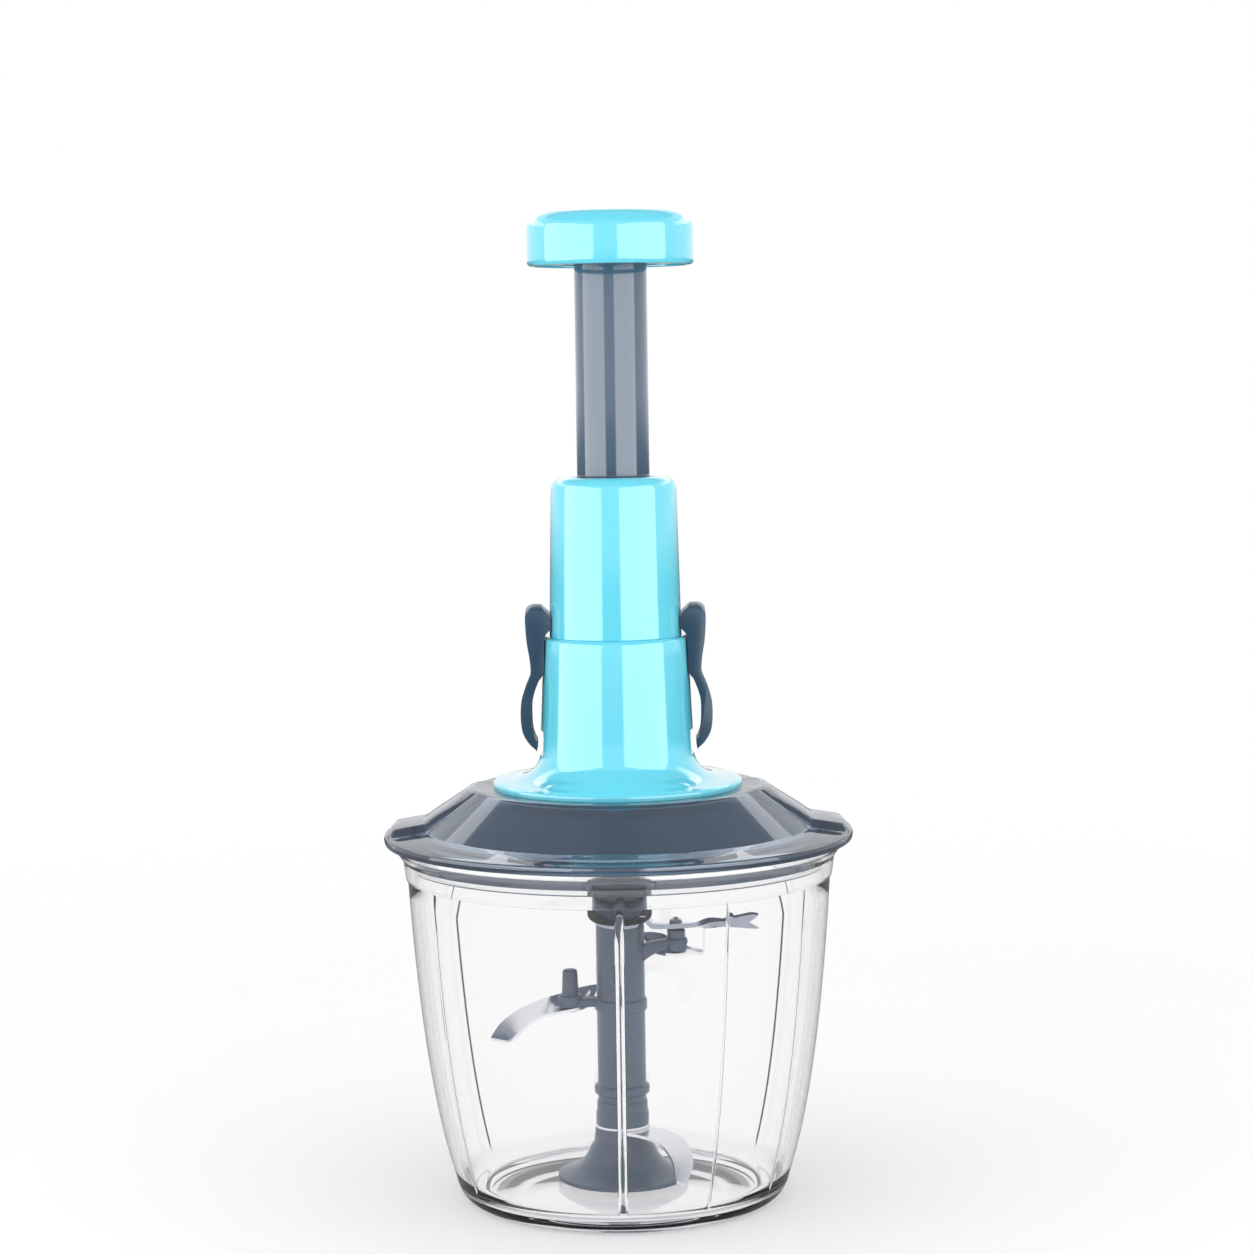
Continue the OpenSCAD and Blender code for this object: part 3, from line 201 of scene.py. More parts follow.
def addNode(tree, kind, inputs=None, **settings):  # adds a shader node, and gives its outputs
    made = tree.nodes.new("ShaderNode" + kind)
    for name, value in settings.items():
        setattr(made, name, value)
    for name, value in (inputs or {}).items():
        if isinstance(value, bpy.types.NodeSocket):
            tree.links.new(value, made.inputs[name])
        else:
            made.inputs[name].default_value = value
    return made.outputs


def newMaterial(name):
    material = bpy.data.materials.new(name)
    material.use_nodes = True
    material.node_tree.nodes.clear()
    return material, material.node_tree


# camera, air and lights

photoView = {
    "frame": 1254,  # pixels, both ways
    "focal": 3000,  # pixels
    "distance": 0.882,  # metres from the axis
    "height": 0.2459,
    "sideways": 0.0034,
    "pitch": 4.95,  # degrees down
    "roll": -0.82,  # degrees
}


def buildCamera():
    data = bpy.data.cameras.new("photoCamera")
    data.sensor_width = 36
    data.lens = data.sensor_width * photoView["focal"] / photoView["frame"]
    camera = bpy.data.objects.new("photoCamera", data)
    place = Matrix.Translation((photoView["sideways"], -photoView["distance"], photoView["height"]))
    tilt = Matrix.Rotation(math.radians(90 - photoView["pitch"]), 4, "X")
    roll = Matrix.Rotation(math.radians(photoView["roll"]), 4, "Z")
    camera.matrix_world = place @ tilt @ roll
    bpy.context.scene.collection.objects.link(camera)
    bpy.context.scene.camera = camera


studio = {
    "air": 0.93,  # what lights the pieces from all round
    "glossFloor": 0.12,  # what gloss sees below the horizon
    "glossHorizon": 1.0,  # and behind the object, low down
    "glossTop": 0.35,  # and overhead
    "glossEdge": (0.59, 0.63),  # sines of the elevations where it darkens
    "boxSoft": 1.25,  # a softbox as matt surfaces see it
    "boxGloss": 3.6,  # and as gloss sees it
    "backGloss": 2.2,  # the raised panels behind
    "floorRadius": 0.9,
    "floorFade": (0.3, 0.75),  # where the floor thins out to the white air
    "floorLift": 0.06,  # brings the open floor to white
    "floorFlag": 0.8,  # share of the floor that gloss looks past, as past a black flag
}


def addStage(bm, name, material, lamp):  # makes the mesh a part of the studio; a lamp shows in gloss alone
    material.cycles.emission_sampling = "NONE"
    mesh = bpy.data.meshes.new(name)
    bm.to_mesh(mesh)
    bm.free()
    mesh.materials.append(material)
    made = bpy.data.objects.new(name, mesh)
    if lamp:
        made.visible_camera = False
        made.visible_transmission = False
        made.visible_shadow = False
    bpy.context.scene.collection.objects.link(made)


def buildAir():
    world = bpy.data.worlds.new("studioAir")
    bpy.context.scene.world = world
    world.use_nodes = True
    tree = world.node_tree
    tree.nodes.clear()
    path = addNode(tree, "LightPath")
    direction = addNode(tree, "TexCoord")["Generated"]
    height = addNode(tree, "SeparateXYZ", {0: direction})["Z"]
    below = addNode(tree, "MapRange", {
        "Value": height, "From Min": -0.06, "From Max": 0.0,
        "To Min": studio["glossFloor"], "To Max": studio["glossHorizon"]})[0]
    above = addNode(tree, "MapRange", {
        "Value": height, "From Min": studio["glossEdge"][0], "From Max": studio["glossEdge"][1],
        "To Min": 1.0, "To Max": studio["glossTop"]})[0]
    gloss = addNode(tree, "Math", {0: below, 1: above}, operation="MULTIPLY")[0]
    lit = addNode(tree, "Mix", {
        0: path["Is Glossy Ray"], 2: studio["air"], 3: gloss}, data_type="FLOAT")[0]
    straight = addNode(tree, "Math", {  # 1 for what the camera sees, also through clear pieces
        0: path["Is Camera Ray"], 1: path["Is Transmission Ray"]}, operation="MAXIMUM")[0]
    level = addNode(tree, "Mix", {0: straight, 2: lit, 3: 1.0}, data_type="FLOAT")[0]
    air = addNode(tree, "Background", {"Color": (1, 1, 1, 1), "Strength": level})
    addNode(tree, "OutputWorld", {"Surface": air[0]})


def buildSoftbox(name, first, last, bottom, top, soft, gloss):  # a panel between two (azimuth, distance)
    bm = bmesh.new()
    ends = [(-math.sin(math.radians(a)) * d, -math.cos(math.radians(a)) * d) for a, d in (first, last)]
    corners = [(*ends[0], bottom), (*ends[1], bottom), (*ends[1], top), (*ends[0], top)]
    bm.faces.new([bm.verts.new(c) for c in corners])
    material, tree = newMaterial(name)
    path = addNode(tree, "LightPath")
    level = addNode(tree, "Mix", {
        0: path["Is Glossy Ray"], 2: soft, 3: gloss}, data_type="FLOAT")[0]
    glow = addNode(tree, "Emission", {"Strength": level})
    addNode(tree, "OutputMaterial", {"Surface": glow[0]})
    addStage(bm, name, material, True)


def buildFloor():
    bm = bmesh.new()
    bmesh.ops.create_circle(bm, cap_ends=True, segments=128, radius=studio["floorRadius"])
    material, tree = newMaterial("paleFloor")
    path = addNode(tree, "LightPath")
    straight = addNode(tree, "Math", {
        0: path["Is Camera Ray"], 1: path["Is Transmission Ray"]}, operation="MAXIMUM")[0]
    lift = addNode(tree, "Math", {0: straight, 1: studio["floorLift"]}, operation="MULTIPLY")[0]
    paint = addNode(tree, "BsdfDiffuse", {"Color": linear("#f7f7f7")})
    glow = addNode(tree, "Emission", {"Strength": lift})
    both = addNode(tree, "AddShader", {0: paint[0], 1: glow[0]})
    place = addNode(tree, "TexCoord")["Object"]
    distance = addNode(tree, "VectorMath", {0: place}, operation="LENGTH")["Value"]
    fade = addNode(tree, "MapRange", {
        "Value": distance, "From Min": studio["floorFade"][0], "From Max": studio["floorFade"][1]},
        interpolation_type="SMOOTHSTEP")[0]
    flag = addNode(tree, "Math", {0: path["Is Glossy Ray"], 1: studio["floorFlag"]},
                   operation="MULTIPLY")[0]
    away = addNode(tree, "Math", {0: fade, 1: flag}, operation="MAXIMUM")[0]
    clear = addNode(tree, "BsdfTransparent")
    mixed = addNode(tree, "MixShader", {0: away, 1: both[0], 2: clear[0]})
    addNode(tree, "OutputMaterial", {"Surface": mixed[0]})
    addStage(bm, "paleFloor", material, False)


softboxes = (  # name, both ends as (azimuth, distance), bottom, top, then for matt surfaces and for gloss
    ("frontLeftBox", (22, 0.95), (99, 0.62), 0.0, 0.55, studio["boxSoft"], studio["boxGloss"]),
    ("frontRightBox", (-10, 0.95), (-80, 0.62), 0.0, 0.55, studio["boxSoft"], studio["boxGloss"]),
    ("backLeftPanel", (103, 0.7), (172, 0.7), 0.42, 0.55, 1.0, studio["backGloss"]),
    ("backRightPanel", (-103, 0.7), (-172, 0.7), 0.42, 0.55, 1.0, studio["backGloss"]),
)
bpy.context.scene.view_settings.view_transform = "Standard"
buildCamera()
buildAir()
for name, first, last, bottom, top, soft, gloss in softboxes:
    buildSoftbox(name, first, last, bottom, top, soft, gloss)
buildFloor()
print("studio ready")


# materials

def mouldedPlastic(name, look):  # opaque plastic: faint flow mottling, sink ripples and a coat of gloss
    material, tree = newMaterial(name)
    place = addNode(tree, "TexCoord")["Object"]
    flow = addNode(tree, "TexNoise", {
        "Vector": place, "Scale": 1 / (look["flow"] * mm), "Detail": 3})["Fac"]
    colour = addNode(tree, "Mix", {
        0: flow, 6: linear(look["colours"][0]), 7: linear(look["colours"][1])}, data_type="RGBA")[2]
    grain = addNode(tree, "TexNoise", {
        "Vector": place, "Scale": 1 / (look["grain"][0] * mm), "Detail": 2})["Fac"]
    roughness = addNode(tree, "MapRange", {
        "Value": flow, "To Min": look["roughness"][0], "To Max": look["roughness"][1]})[0]
    bump = addNode(tree, "Bump", {
        "Height": grain, "Distance": look["grain"][1] * mm, "Strength": 1.0})[0]
    surface = addNode(tree, "BsdfPrincipled", {
        "Base Color": colour, "Roughness": roughness, "IOR": look["ior"], "Normal": bump,
        "Coat Weight": look["coat"][0], "Coat Roughness": look["coat"][1], "Coat IOR": 1.5})
    addNode(tree, "OutputMaterial", {"Surface": surface[0]})
    return material


def clearPlastic(name, look):  # see-through plastic: light is taken up along its way inside
    material, tree = newMaterial(name)
    place = addNode(tree, "TexCoord")["Object"]
    ripple = addNode(tree, "TexNoise", {
        "Vector": place, "Scale": 1 / (look["ripple"][0] * mm), "Detail": 1})["Fac"]
    bump = addNode(tree, "Bump", {
        "Height": ripple, "Distance": look["ripple"][1] * mm, "Strength": 1.0})[0]
    haze = addNode(tree, "MapRange", {
        "Value": ripple, "To Min": look["roughness"][0], "To Max": look["roughness"][1]})[0]
    height = addNode(tree, "SeparateXYZ", {0: place})["Z"]
    thick = addNode(tree, "MapRange", {
        "Value": height, "From Min": (look["hazeFrom"] - 0.5) * mm,
        "From Max": (look["hazeFrom"] + 0.5) * mm})[0]
    colour = addNode(tree, "Mix", {
        0: thick, 6: (1, 1, 1, 1), 7: linear(look["colour"])}, data_type="RGBA")[2]
    clear = addNode(tree, "Mix", {0: thick, 2: 1.0, 3: look["clear"]}, data_type="FLOAT")[0]
    surface = addNode(tree, "BsdfPrincipled", {
        "Base Color": colour, "Transmission Weight": clear, "IOR": look["ior"],
        "Roughness": haze, "Normal": bump})
    shade = addNode(tree, "BsdfTransparent", {"Color": linear(look["shadow"])})
    path = addNode(tree, "LightPath")
    mixed = addNode(tree, "MixShader", {
        0: path["Is Shadow Ray"], 1: surface[0], 2: shade[0]})
    inside = addNode(tree, "VolumeAbsorption", {
        "Color": linear(look["taken"]), "Density": look["density"]})
    addNode(tree, "OutputMaterial", {"Surface": mixed[0], "Volume": inside[0]})
    return material


def workedMetal(name, look):  # bare metal with the fine lines that its making leaves along one direction
    material, tree = newMaterial(name)
    place = addNode(tree, "TexCoord")["Object"]
    stretch = [1 / (size * mm) for size in look["line"]]
    along = addNode(tree, "Mapping", {"Vector": place, "Scale": stretch})[0]
    lines = addNode(tree, "TexNoise", {"Vector": along, "Scale": 1.0, "Detail": 3})["Fac"]
    colour = addNode(tree, "Mix", {
        0: lines, 6: linear(look["colours"][0]), 7: linear(look["colours"][1])}, data_type="RGBA")[2]
    roughness = addNode(tree, "MapRange", {
        "Value": lines, "To Min": look["roughness"][0], "To Max": look["roughness"][1]})[0]
    bump = addNode(tree, "Bump", {
        "Height": lines, "Distance": look["lineDepth"] * mm, "Strength": 0.6})[0]
    surface = addNode(tree, "BsdfPrincipled", {
        "Base Color": colour, "Metallic": 1.0, "Roughness": roughness, "Normal": bump})
    addNode(tree, "OutputMaterial", {"Surface": surface[0]})
    return material


# ABS, injection moulded against a polished tool: mirror-like gloss over a solid cyan
cyanAbs = mouldedPlastic("glossCyanAbs", {
    "colours": ("#6adef4", "#70e2f8"), "flow": 30, "roughness": (0.1, 0.14), "ior": 1.54,
    "grain": (5, 0.004), "coat": (1.0, 0.03)})
# ABS against a satin tool: softer, broader highlights
slateAbs = mouldedPlastic("satinSlateAbs", {
    "colours": ("#163c54", "#1a425b"), "flow": 12, "roughness": (0.25, 0.33), "ior": 1.54,
    "grain": (0.6, 0.003), "coat": (0.25, 0.12)})
# ABS tube, polished by its bush: crisp stripes of light
tubeAbs = mouldedPlastic("glossGreyAbs", {
    "colours": ("#4e6175", "#54677b"), "flow": 14, "roughness": (0.09, 0.13), "ior": 1.54,
    "grain": (3, 0.002), "coat": (0.6, 0.06)})
# polypropylene, slightly waxy
columnPp = mouldedPlastic("waxyGreyPolypropylene", {
    "colours": ("#55667b", "#5c6d82"), "flow": 10, "roughness": (0.28, 0.36), "ior": 1.49,
    "grain": (0.8, 0.003), "coat": (0.15, 0.12)})
# nylon, dark teal and satin
couplingNylon = mouldedPlastic("satinTealNylon", {
    "colours": ("#17323e", "#1c3a47"), "flow": 8, "roughness": (0.3, 0.38), "ior": 1.53,
    "grain": (0.5, 0.003), "coat": (0.2, 0.15)})
# slate ABS cover under the dome, fine spark-eroded texture
coverAbs = mouldedPlastic("erodedSlateAbs", {
    "colours": ("#6d7d92", "#738398"), "flow": 20, "roughness": (0.4, 0.5), "ior": 1.54,
    "grain": (0.4, 0.006), "coat": (0.0, 0.3)})
# acetal, turned or moulded matt, dry to the touch
bushAcetal = mouldedPlastic("matteNavyAcetal", {
    "colours": ("#1c2335", "#20283b"), "flow": 8, "roughness": (0.5, 0.6), "ior": 1.3,
    "grain": (0.5, 0.004), "coat": (0.0, 0.3)})
# nylon, nearly black and dull
darkNylon = mouldedPlastic("matteDarkNylon", {
    "colours": ("#161a2c", "#1b2033"), "flow": 8, "roughness": (0.5, 0.6), "ior": 1.3,
    "grain": (0.5, 0.004), "coat": (0.0, 0.3)})
# styrene-acrylonitrile, clear and hard: a hint of mauve along its thick edges
clearSan = clearPlastic("clearSan", {
    "colour": "#ffffff", "clear": 1.0, "hazeFrom": 0,
    "ior": 1.57, "roughness": (0.0, 0.012), "ripple": (14, 0.004),
    "taken": "#85709a", "density": 7, "shadow": "#efeff2"})
# the same resin with a smoke dye, which scatters a little light where it's thick, above the skirt
smokeSan = clearPlastic("smokeSan", {
    "colour": "#8fa0b5", "clear": 0.88, "hazeFrom": high("lid") - 16.5,
    "ior": 1.57, "roughness": (0.01, 0.03), "ripple": (16, 0.003),
    "taken": "#5a86a4", "density": 45, "shadow": "#b4bcc6"})
# stainless strip, brushed; its colour is painted paler than the bare metal, as painted light, so the blades
# read pale under the dark lid
litBladeSteel = workedMetal("brushedLitStainless", {
    "colours": ("#eceef2", "#f4f5f7"), "roughness": (0.18, 0.28),
    "line": (0.35, 9, 9), "lineDepth": 0.003})
# the same strip painted greyer, as painted shade, so the top blade, seen nearly edge-on, reads as a dark line
shadedBladeSteel = workedMetal("shadedStainless", {
    "colours": ("#a4abb9", "#b0b7c4"), "roughness": (0.12, 0.2),
    "line": (0.35, 9, 9), "lineDepth": 0.002})
# stainless, drawn along its length
barSteel = workedMetal("drawnStainless", {
    "colours": ("#b9bcc2", "#c8cbd0"), "roughness": (0.25, 0.36),
    "line": (0.4, 0.4, 14), "lineDepth": 0.002})
# ground between wheels: fine rings round the pin
pinSteel = workedMetal("centrelessGroundStainless", {
    "colours": ("#c2c5ca", "#cfd1d5"), "roughness": (0.18, 0.26),
    "line": (7, 7, 0.3), "lineDepth": 0.001})
# spring wire, drawn: darker and dull
springSteel = workedMetal("drawnSpringSteel", {
    "colours": ("#9a9da3", "#a8abb0"), "roughness": (0.3, 0.4),
    "line": (0.5, 0.5, 4), "lineDepth": 0.002})
# zinc plate with a pale passivated film
screwZinc = workedMetal("zincPlatedSteel", {
    "colours": ("#b3b6ba", "#c4c8cc"), "roughness": (0.3, 0.42),
    "line": (1.2, 1.2, 1.2), "lineDepth": 0.002})
print("materials ready")


# bowl

bowlShape = {
    "footR": 45, "footRing": 4, "recess": 1.0,
    "lowR": 50, "cornerZ": 7.1,  # wall above the rounded bottom corner
    "kneeR": 58.9, "topR": 62.6,
    "wall": 2.4, "floorZ": 4.0,
    "innerFrom": 9.5,  # the inner wall begins above its own rounded corner
    "shoulderDrop": 10.1, "lipDrop": 4.4, "lipR": 66, "collarR": 63.9,
    "segments": 192,
}
bowlRibs = {
    "ribs": ((-90, 1.3, 1.7, 92), (90, 1.0, 0.7, 92), (-60, 0.5, 0.45, 95), (-150, 0.8, 0.5, 92),
             (-30, 0.8, 0.5, 92), (30, 0.8, 0.5, 92), (150, 0.8, 0.5, 92)),  # (angle, half width, depth, top)
    "low": 9.2, "point": 5,  # the top runs out to a point
    "cuts": (-1, -0.92, -0.75, -0.5, -0.25, 0, 0.25, 0.5, 0.75, 0.92, 1),
}


def bowlWall():  # the outer wall's curve, from the corner up to the shoulder
    shape = bowlShape
    shoulder = high("bowl") - shape["shoulderDrop"]
    return bent((shape["lowR"], shape["cornerZ"]), (shape["kneeR"], shoulder * 0.352),
                (shape["topR"], shoulder), 22)


def wallRadius(line, z):  # outer radius of the wall at a height
    for a, b in zip(line, line[1:]):
        if a.y <= z <= b.y:
            return a.x + (b.x - a.x) * (z - a.y) / (b.y - a.y)
    return line[0].x if z < line[0].y else line[-1].x


def bowlOutline():
    shape = bowlShape
    top = high("bowl")
    shoulder = top - shape["shoulderDrop"]
    wall = bowlWall()
    inner = [(p.x - shape["wall"], p.y) for p in wall if p.y > shape["innerFrom"]]
    corner = bent((shape["footR"], 0.25), (shape["footR"] + 3.8, 0.9), (shape["lowR"], shape["cornerZ"]), 8)
    innerCorner = bent(inner[0], (wall[0].x - shape["wall"] - 0.4, shape["floorZ"] + 0.2),
                       (wall[0].x - 8, shape["floorZ"]), 7)
    lip = rounded([
        (shape["topR"], shoulder, 0), (shape["topR"] + 0.55, shoulder + 0.15, 0.1),
        (shape["collarR"], top - shape["lipDrop"], 0.4), (shape["lipR"], top - 1.4, 0.4),
        (shape["lipR"], top, 0.35), (shape["collarR"] - shape["wall"], top, 0.35),
        (shape["collarR"] - shape["wall"], top - shape["lipDrop"], 0.4), (inner[-1][0], inner[-1][1], 0)], 3)
    under = shape["footR"] - shape["footRing"]
    foot = [(0, shape["recess"]), (under - shape["recess"], shape["recess"]),
            (under, 0.2), (under + 0.3, 0), (shape["footR"] - 0.3, 0)]
    return (foot + corner[:-1] + wall[:-1] + lip[:-1] + inner[::-1] + innerCorner[1:]
            + [(0, shape["floorZ"])])


def addRib(bm, angle, half, depth, top):  # raises a rib on the inner wall
    line = bowlWall()
    across = Vector((-math.sin(angle), math.cos(angle), 0))
    inward = Vector((-math.cos(angle), -math.sin(angle), 0))

    def nearRib(p):  # on the inner skin of the wall
        wall = wallRadius(line, p.z)
        return (abs(p.dot(across)) < half + 3 and p.dot(inward) < 0 and bowlRibs["low"] - 6 < p.z < top + 1
                and wall - 12 < math.hypot(p.x, p.y) < wall - bowlShape["wall"] / 2)

    for share in bowlRibs["cuts"]:
        cutAlong(bm, across * share * half, across, nearRib)
    for vert in bm.verts:
        p = vert.co / mm
        if not nearRib(p) or abs(p.dot(across)) > half * 1.001:
            continue
        share = abs(p.dot(across)) / half
        ends = smooth(bowlRibs["low"] - 3, bowlRibs["low"], p.z)
        ends *= 1 - smooth(top - bowlRibs["point"], top, p.z)
        vert.co += inward * depth * mm * math.sqrt(max(0, 1 - share * share)) * ends


def buildBowl():
    bm = lathe(bmesh.new(), bowlOutline(), bowlShape["segments"])
    for angle, half, depth, top in bowlRibs["ribs"]:
        addRib(bm, math.radians(angle), half, depth, top)
    addPiece(bm, "clearBowl", "bowl", "bowl", clearSan, 40)


# lid and its cover

lidShape = {
    "holeR": 11.9, "plateauR": 42.5, "wall": 2.5,
    "inset": 2.2,  # how far in the inner skin's corners lie
    "domeFootR": 57.75, "rimR": 69.4,
    "rimEdge": 13.3, "rimTop": 11.6, "rimUnder": 15.8,  # depths below the flat top
    "skirtDrop": 22.5, "skirtR": 60.9, "skirtWall": 1.9,
    "segments": 192,
}
lidLugs = {
    "half": 12.2, "soft": 2.2,  # the step at a lug's side
    "near": 20, "spacing": 2.2,  # points lie this far apart there
    "lift": ((41.5, 0), (45, 1.3), (57, 2.3), (66.5, 2.1), (68.9, 0)),  # (radius, raised by)
}


def lidOutline():
    shape = lidShape
    top = high("lid")
    edge, under, foot = top - shape["rimEdge"], top - shape["rimUnder"], top - shape["skirtDrop"]
    skirtIn = shape["skirtR"] - shape["skirtWall"]
    inset, inner = shape["inset"], top - shape["wall"]
    return rounded([
        (shape["holeR"], top, 0.2), (shape["plateauR"], top, 1.6),
        (shape["domeFootR"], top - shape["rimTop"], 1.4), (shape["rimR"] - 0.3, edge, 0.5),
        (shape["rimR"], edge - 1.1, 0.4), (shape["rimR"] - 0.3, under, 0.5), (shape["skirtR"], under, 0.4),
        (shape["skirtR"], foot, 0.35), (skirtIn, foot, 0.35), (skirtIn, under + 0.4, 0.8),
        (shape["domeFootR"] - inset, top - shape["rimTop"] - 1.4, 1.0),
        (shape["plateauR"] - inset, inner, 1.4), (shape["holeR"], inner, 0.2)], 4)


def lugLift(radius):
    table = lidLugs["lift"]
    for (r0, h0), (r1, h1) in zip(table, table[1:]):
        if r0 <= radius <= r1:
            return h0 + (h1 - h0) * smooth(r0, r1, radius)
    return 0


def buildLid():
    top = high("lid")
    under = top - lidShape["rimUnder"]
    half, soft = lidLugs["half"], lidLugs["soft"]
    bm = bmesh.new()
    outline = lidOutline()
    dense = []  # more points along the top, for the lugs to rise from
    for a, b in zip(outline, outline[1:] + outline[:1]):
        count = 1
        if min(a.x, b.x) > lidShape["plateauR"] - 4:
            count += int((b - a).length / lidLugs["spacing"])
        dense += [a.lerp(b, k / count) for k in range(count)]
    lathe(bm, dense, lidShape["segments"])

    def onTop(p):  # on the dome or the flange, near a lug
        return (abs(p.y) < lidLugs["near"] and math.hypot(p.x, p.y) > lidShape["plateauR"] - 2
                and p.z > under - 0.1)

    for side in (-1, 1):
        for step in range(-3, 4):
            cutAlong(bm, (0, side * (half + step * soft / 3), 0), (0, 1, 0), onTop)
    for vert in bm.verts:  # both skins rise, so the lugs keep the wall's thickness
        p = vert.co / mm
        if onTop(p):
            r = math.hypot(p.x, p.y)
            lift = lugLift(r) * (1 - smooth(half - soft, half + soft, abs(p.y)))
            if p.z < under + 1:  # but the flange's underside stays level outside the skirt
                lift *= 1 - smooth(lidShape["skirtR"] - 3, lidShape["skirtR"] - 1, r)
            vert.co.z += lift * mm
    addPiece(bm, "smokeLid", "lid", "lid", smokeSan, 40)


coverShape = {
    "boreR": 9.02, "shoulderR": 39.1, "footR": 54.95, "thick": 1.6, "neckR": 11, "neckH": 5,
    "under": 2.5,  # its top lies this far under the lid's
    "pillarsAt": (30, 150, 270), "pillarsOut": 34.5,  # what holds it against the lid's flat top
}


def buildCover():
    shape = coverShape
    top = high("lid") - lidShape["wall"] - shape["under"]
    foot, thick, footR = low("lid_inner_cover"), shape["thick"], shape["footR"]
    bm = lathed([
        (shape["boreR"], top, 0.1), (shape["shoulderR"], top, 2),
        (footR, foot + thick, 0.5), (footR, foot, 0.3), (footR - thick, foot, 0.3),
        (shape["shoulderR"] - 0.8, top - thick, 1.2), (shape["neckR"], top - thick, 0.5),
        (shape["neckR"], top - shape["neckH"], 0.3), (shape["boreR"], top - shape["neckH"], 0.1)], 4, 160)
    for angle in shape["pillarsAt"]:
        turned(bm, addCone(bm, 32, 2.4, 2.2, 3, shape["pillarsOut"], top + 0.95), math.radians(angle))
    addPiece(bm, "domeCover", "lid", "lid_inner_cover", coverAbs)


# housings

bellShape = {
    "topR": 21.25, "lowR": 23.2, "footR": 37.1, "wall": 2.3,
    "footEdge": 2.0, "filletH": 7.5, "filletR": 3.2,
    "shoulder": 1.3,  # radius of the upper edge
    "boreR": 20.9, "seatR": 18.4, "seatH": 6, "ledge": 1.3,  # the foot's bore, the upper housing's seat
    "segments": 160,
}
clipRooms = {  # half widths, and heights from the pivot
    "side": 6.5, "tongueSide": 4.4, "tongue": (-2.8, 2.8),
    "tip": (-25.4, -18.2), "tipDepth": 2.1, "nose": (11.8, 15.4), "noseDepth": 1.45,
}
pivotHeight = (low("clip_pins") + high("clip_pins")) / 2


def bellOutline():
    shape = bellShape
    foot, top = low("lower_housing"), high("lower_housing")

    def wallR(z):
        return shape["lowR"] + (shape["topR"] - shape["lowR"]) * (z - foot) / (top - foot)

    edge = foot + shape["footEdge"]
    joint = edge + shape["filletH"]
    fillet = bent((shape["footR"] - shape["filletR"], edge + 0.3), (wallR(edge) + 0.9, edge + 0.5),
                  (wallR(joint), joint), 14)
    inner = wallR(top - 9) - shape["wall"]
    corners = [(shape["boreR"], foot, 0), (shape["footR"] - 0.3, foot, 0.3), (shape["footR"], edge, 0.9)]
    corners += fillet
    corners += [(wallR(joint + step), joint + step) for step in (6, 12, 18, 24, 30)]
    seat = top - shape["seatH"]
    corners += [(shape["topR"], top, shape["shoulder"]), (shape["seatR"], top, 0.2),
                (shape["seatR"], seat, 0), (inner, seat - shape["ledge"], 0),
                (shape["boreR"], foot + 5.8, 0), (shape["boreR"], foot + 2.8, 0)]
    return rounded(corners, 5)


def roomFaces(bm, side, half, room, least):  # a rectangle cut into the +X or -X wall beyond least
    bottom, top = (pivotHeight + step for step in room)

    def within(p):
        return p.x * side > least and abs(p.y) < half + 6 and bottom - 8 < p.z < top + 8

    for y in (-half, half):
        cutAlong(bm, (0, y, 0), (0, 1, 0), within)
    for z in (bottom, top):
        cutAlong(bm, (0, 0, z), (0, 0, 1), within)

    def inside(p):
        return within(p) and abs(p.y) < half and bottom < p.z < top

    return [f for f in bm.faces if inside(f.calc_center_median() / mm)]


def sinkRoom(bm, side, room, depth, least):  # a pocket in the outer wall
    faces = [f for f in roomFaces(bm, side, clipRooms["side"], room, least) if f.normal.x * side > 0]
    grown = bmesh.ops.extrude_face_region(bm, geom=faces)["geom"]
    shift(bm, only(grown, bmesh.types.BMVert), -side * depth, 0, 0)
    bmesh.ops.delete(bm, geom=[f for f in faces if f.is_valid], context="FACES_ONLY")


def openWindow(bm, side, half, room, least):  # a window through both skins of a wall
    faces = roomFaces(bm, side, half, room, least)
    bmesh.ops.delete(bm, geom=faces, context="FACES")
    bmesh.ops.bridge_loops(bm, edges=[e for e in bm.edges if e.is_boundary])


def buildLowerHousing():
    bm = lathe(bmesh.new(), bellOutline(), bellShape["segments"])
    bmesh.ops.recalc_face_normals(bm, faces=bm.faces)
    for side in (-1, 1):
        openWindow(bm, side, clipRooms["tongueSide"], clipRooms["tongue"], 17)
        sinkRoom(bm, side, clipRooms["tip"], clipRooms["tipDepth"], 21.5)
    addPiece(bm, "lowerHousing", "lid", "lower_housing", cyanAbs)


coneShape = {
    "lowR": 19.5, "topR": 18.4, "edge": 3.4, "mouthR": 12.35,
    "spigotR": 18.1, "spigotH": 5.7, "spigotWall": 2,
    "bushR": 13.14, "bushFlangeR": 15.5, "room": 2,  # what the bush and its flange sit in
}


def buildUpperHousing():
    shape = coneShape
    seam, top = high("lower_housing"), high("upper_housing")
    bushLow = low("guide_bush")
    bushTop = bushLow + bushShape["length"]
    inR, foot, room = shape["spigotR"] - shape["spigotWall"], seam - shape["spigotH"], shape["room"]
    bm = lathed([
        (inR, foot, 0), (shape["spigotR"], foot, 0.4), (shape["spigotR"], seam, 0),
        (shape["lowR"], seam, 0.25), (shape["topR"], top, shape["edge"]), (shape["mouthR"], top, 0.6),
        (shape["mouthR"], bushTop + 0.4, 0.3), (shape["bushR"], bushTop + 0.4, 0),
        (shape["bushR"], bushLow + room, 0), (shape["bushFlangeR"], bushLow + room, 0),
        (shape["bushFlangeR"], bushLow - room, 0),
        (inR, bushLow - 5, 0)], 8, 160)
    bmesh.ops.recalc_face_normals(bm, faces=bm.faces)
    for side in (-1, 1):
        sinkRoom(bm, side, clipRooms["nose"], clipRooms["noseDepth"], 17.5)
    addPiece(bm, "upperHousing", "lid", "upper_housing", cyanAbs)


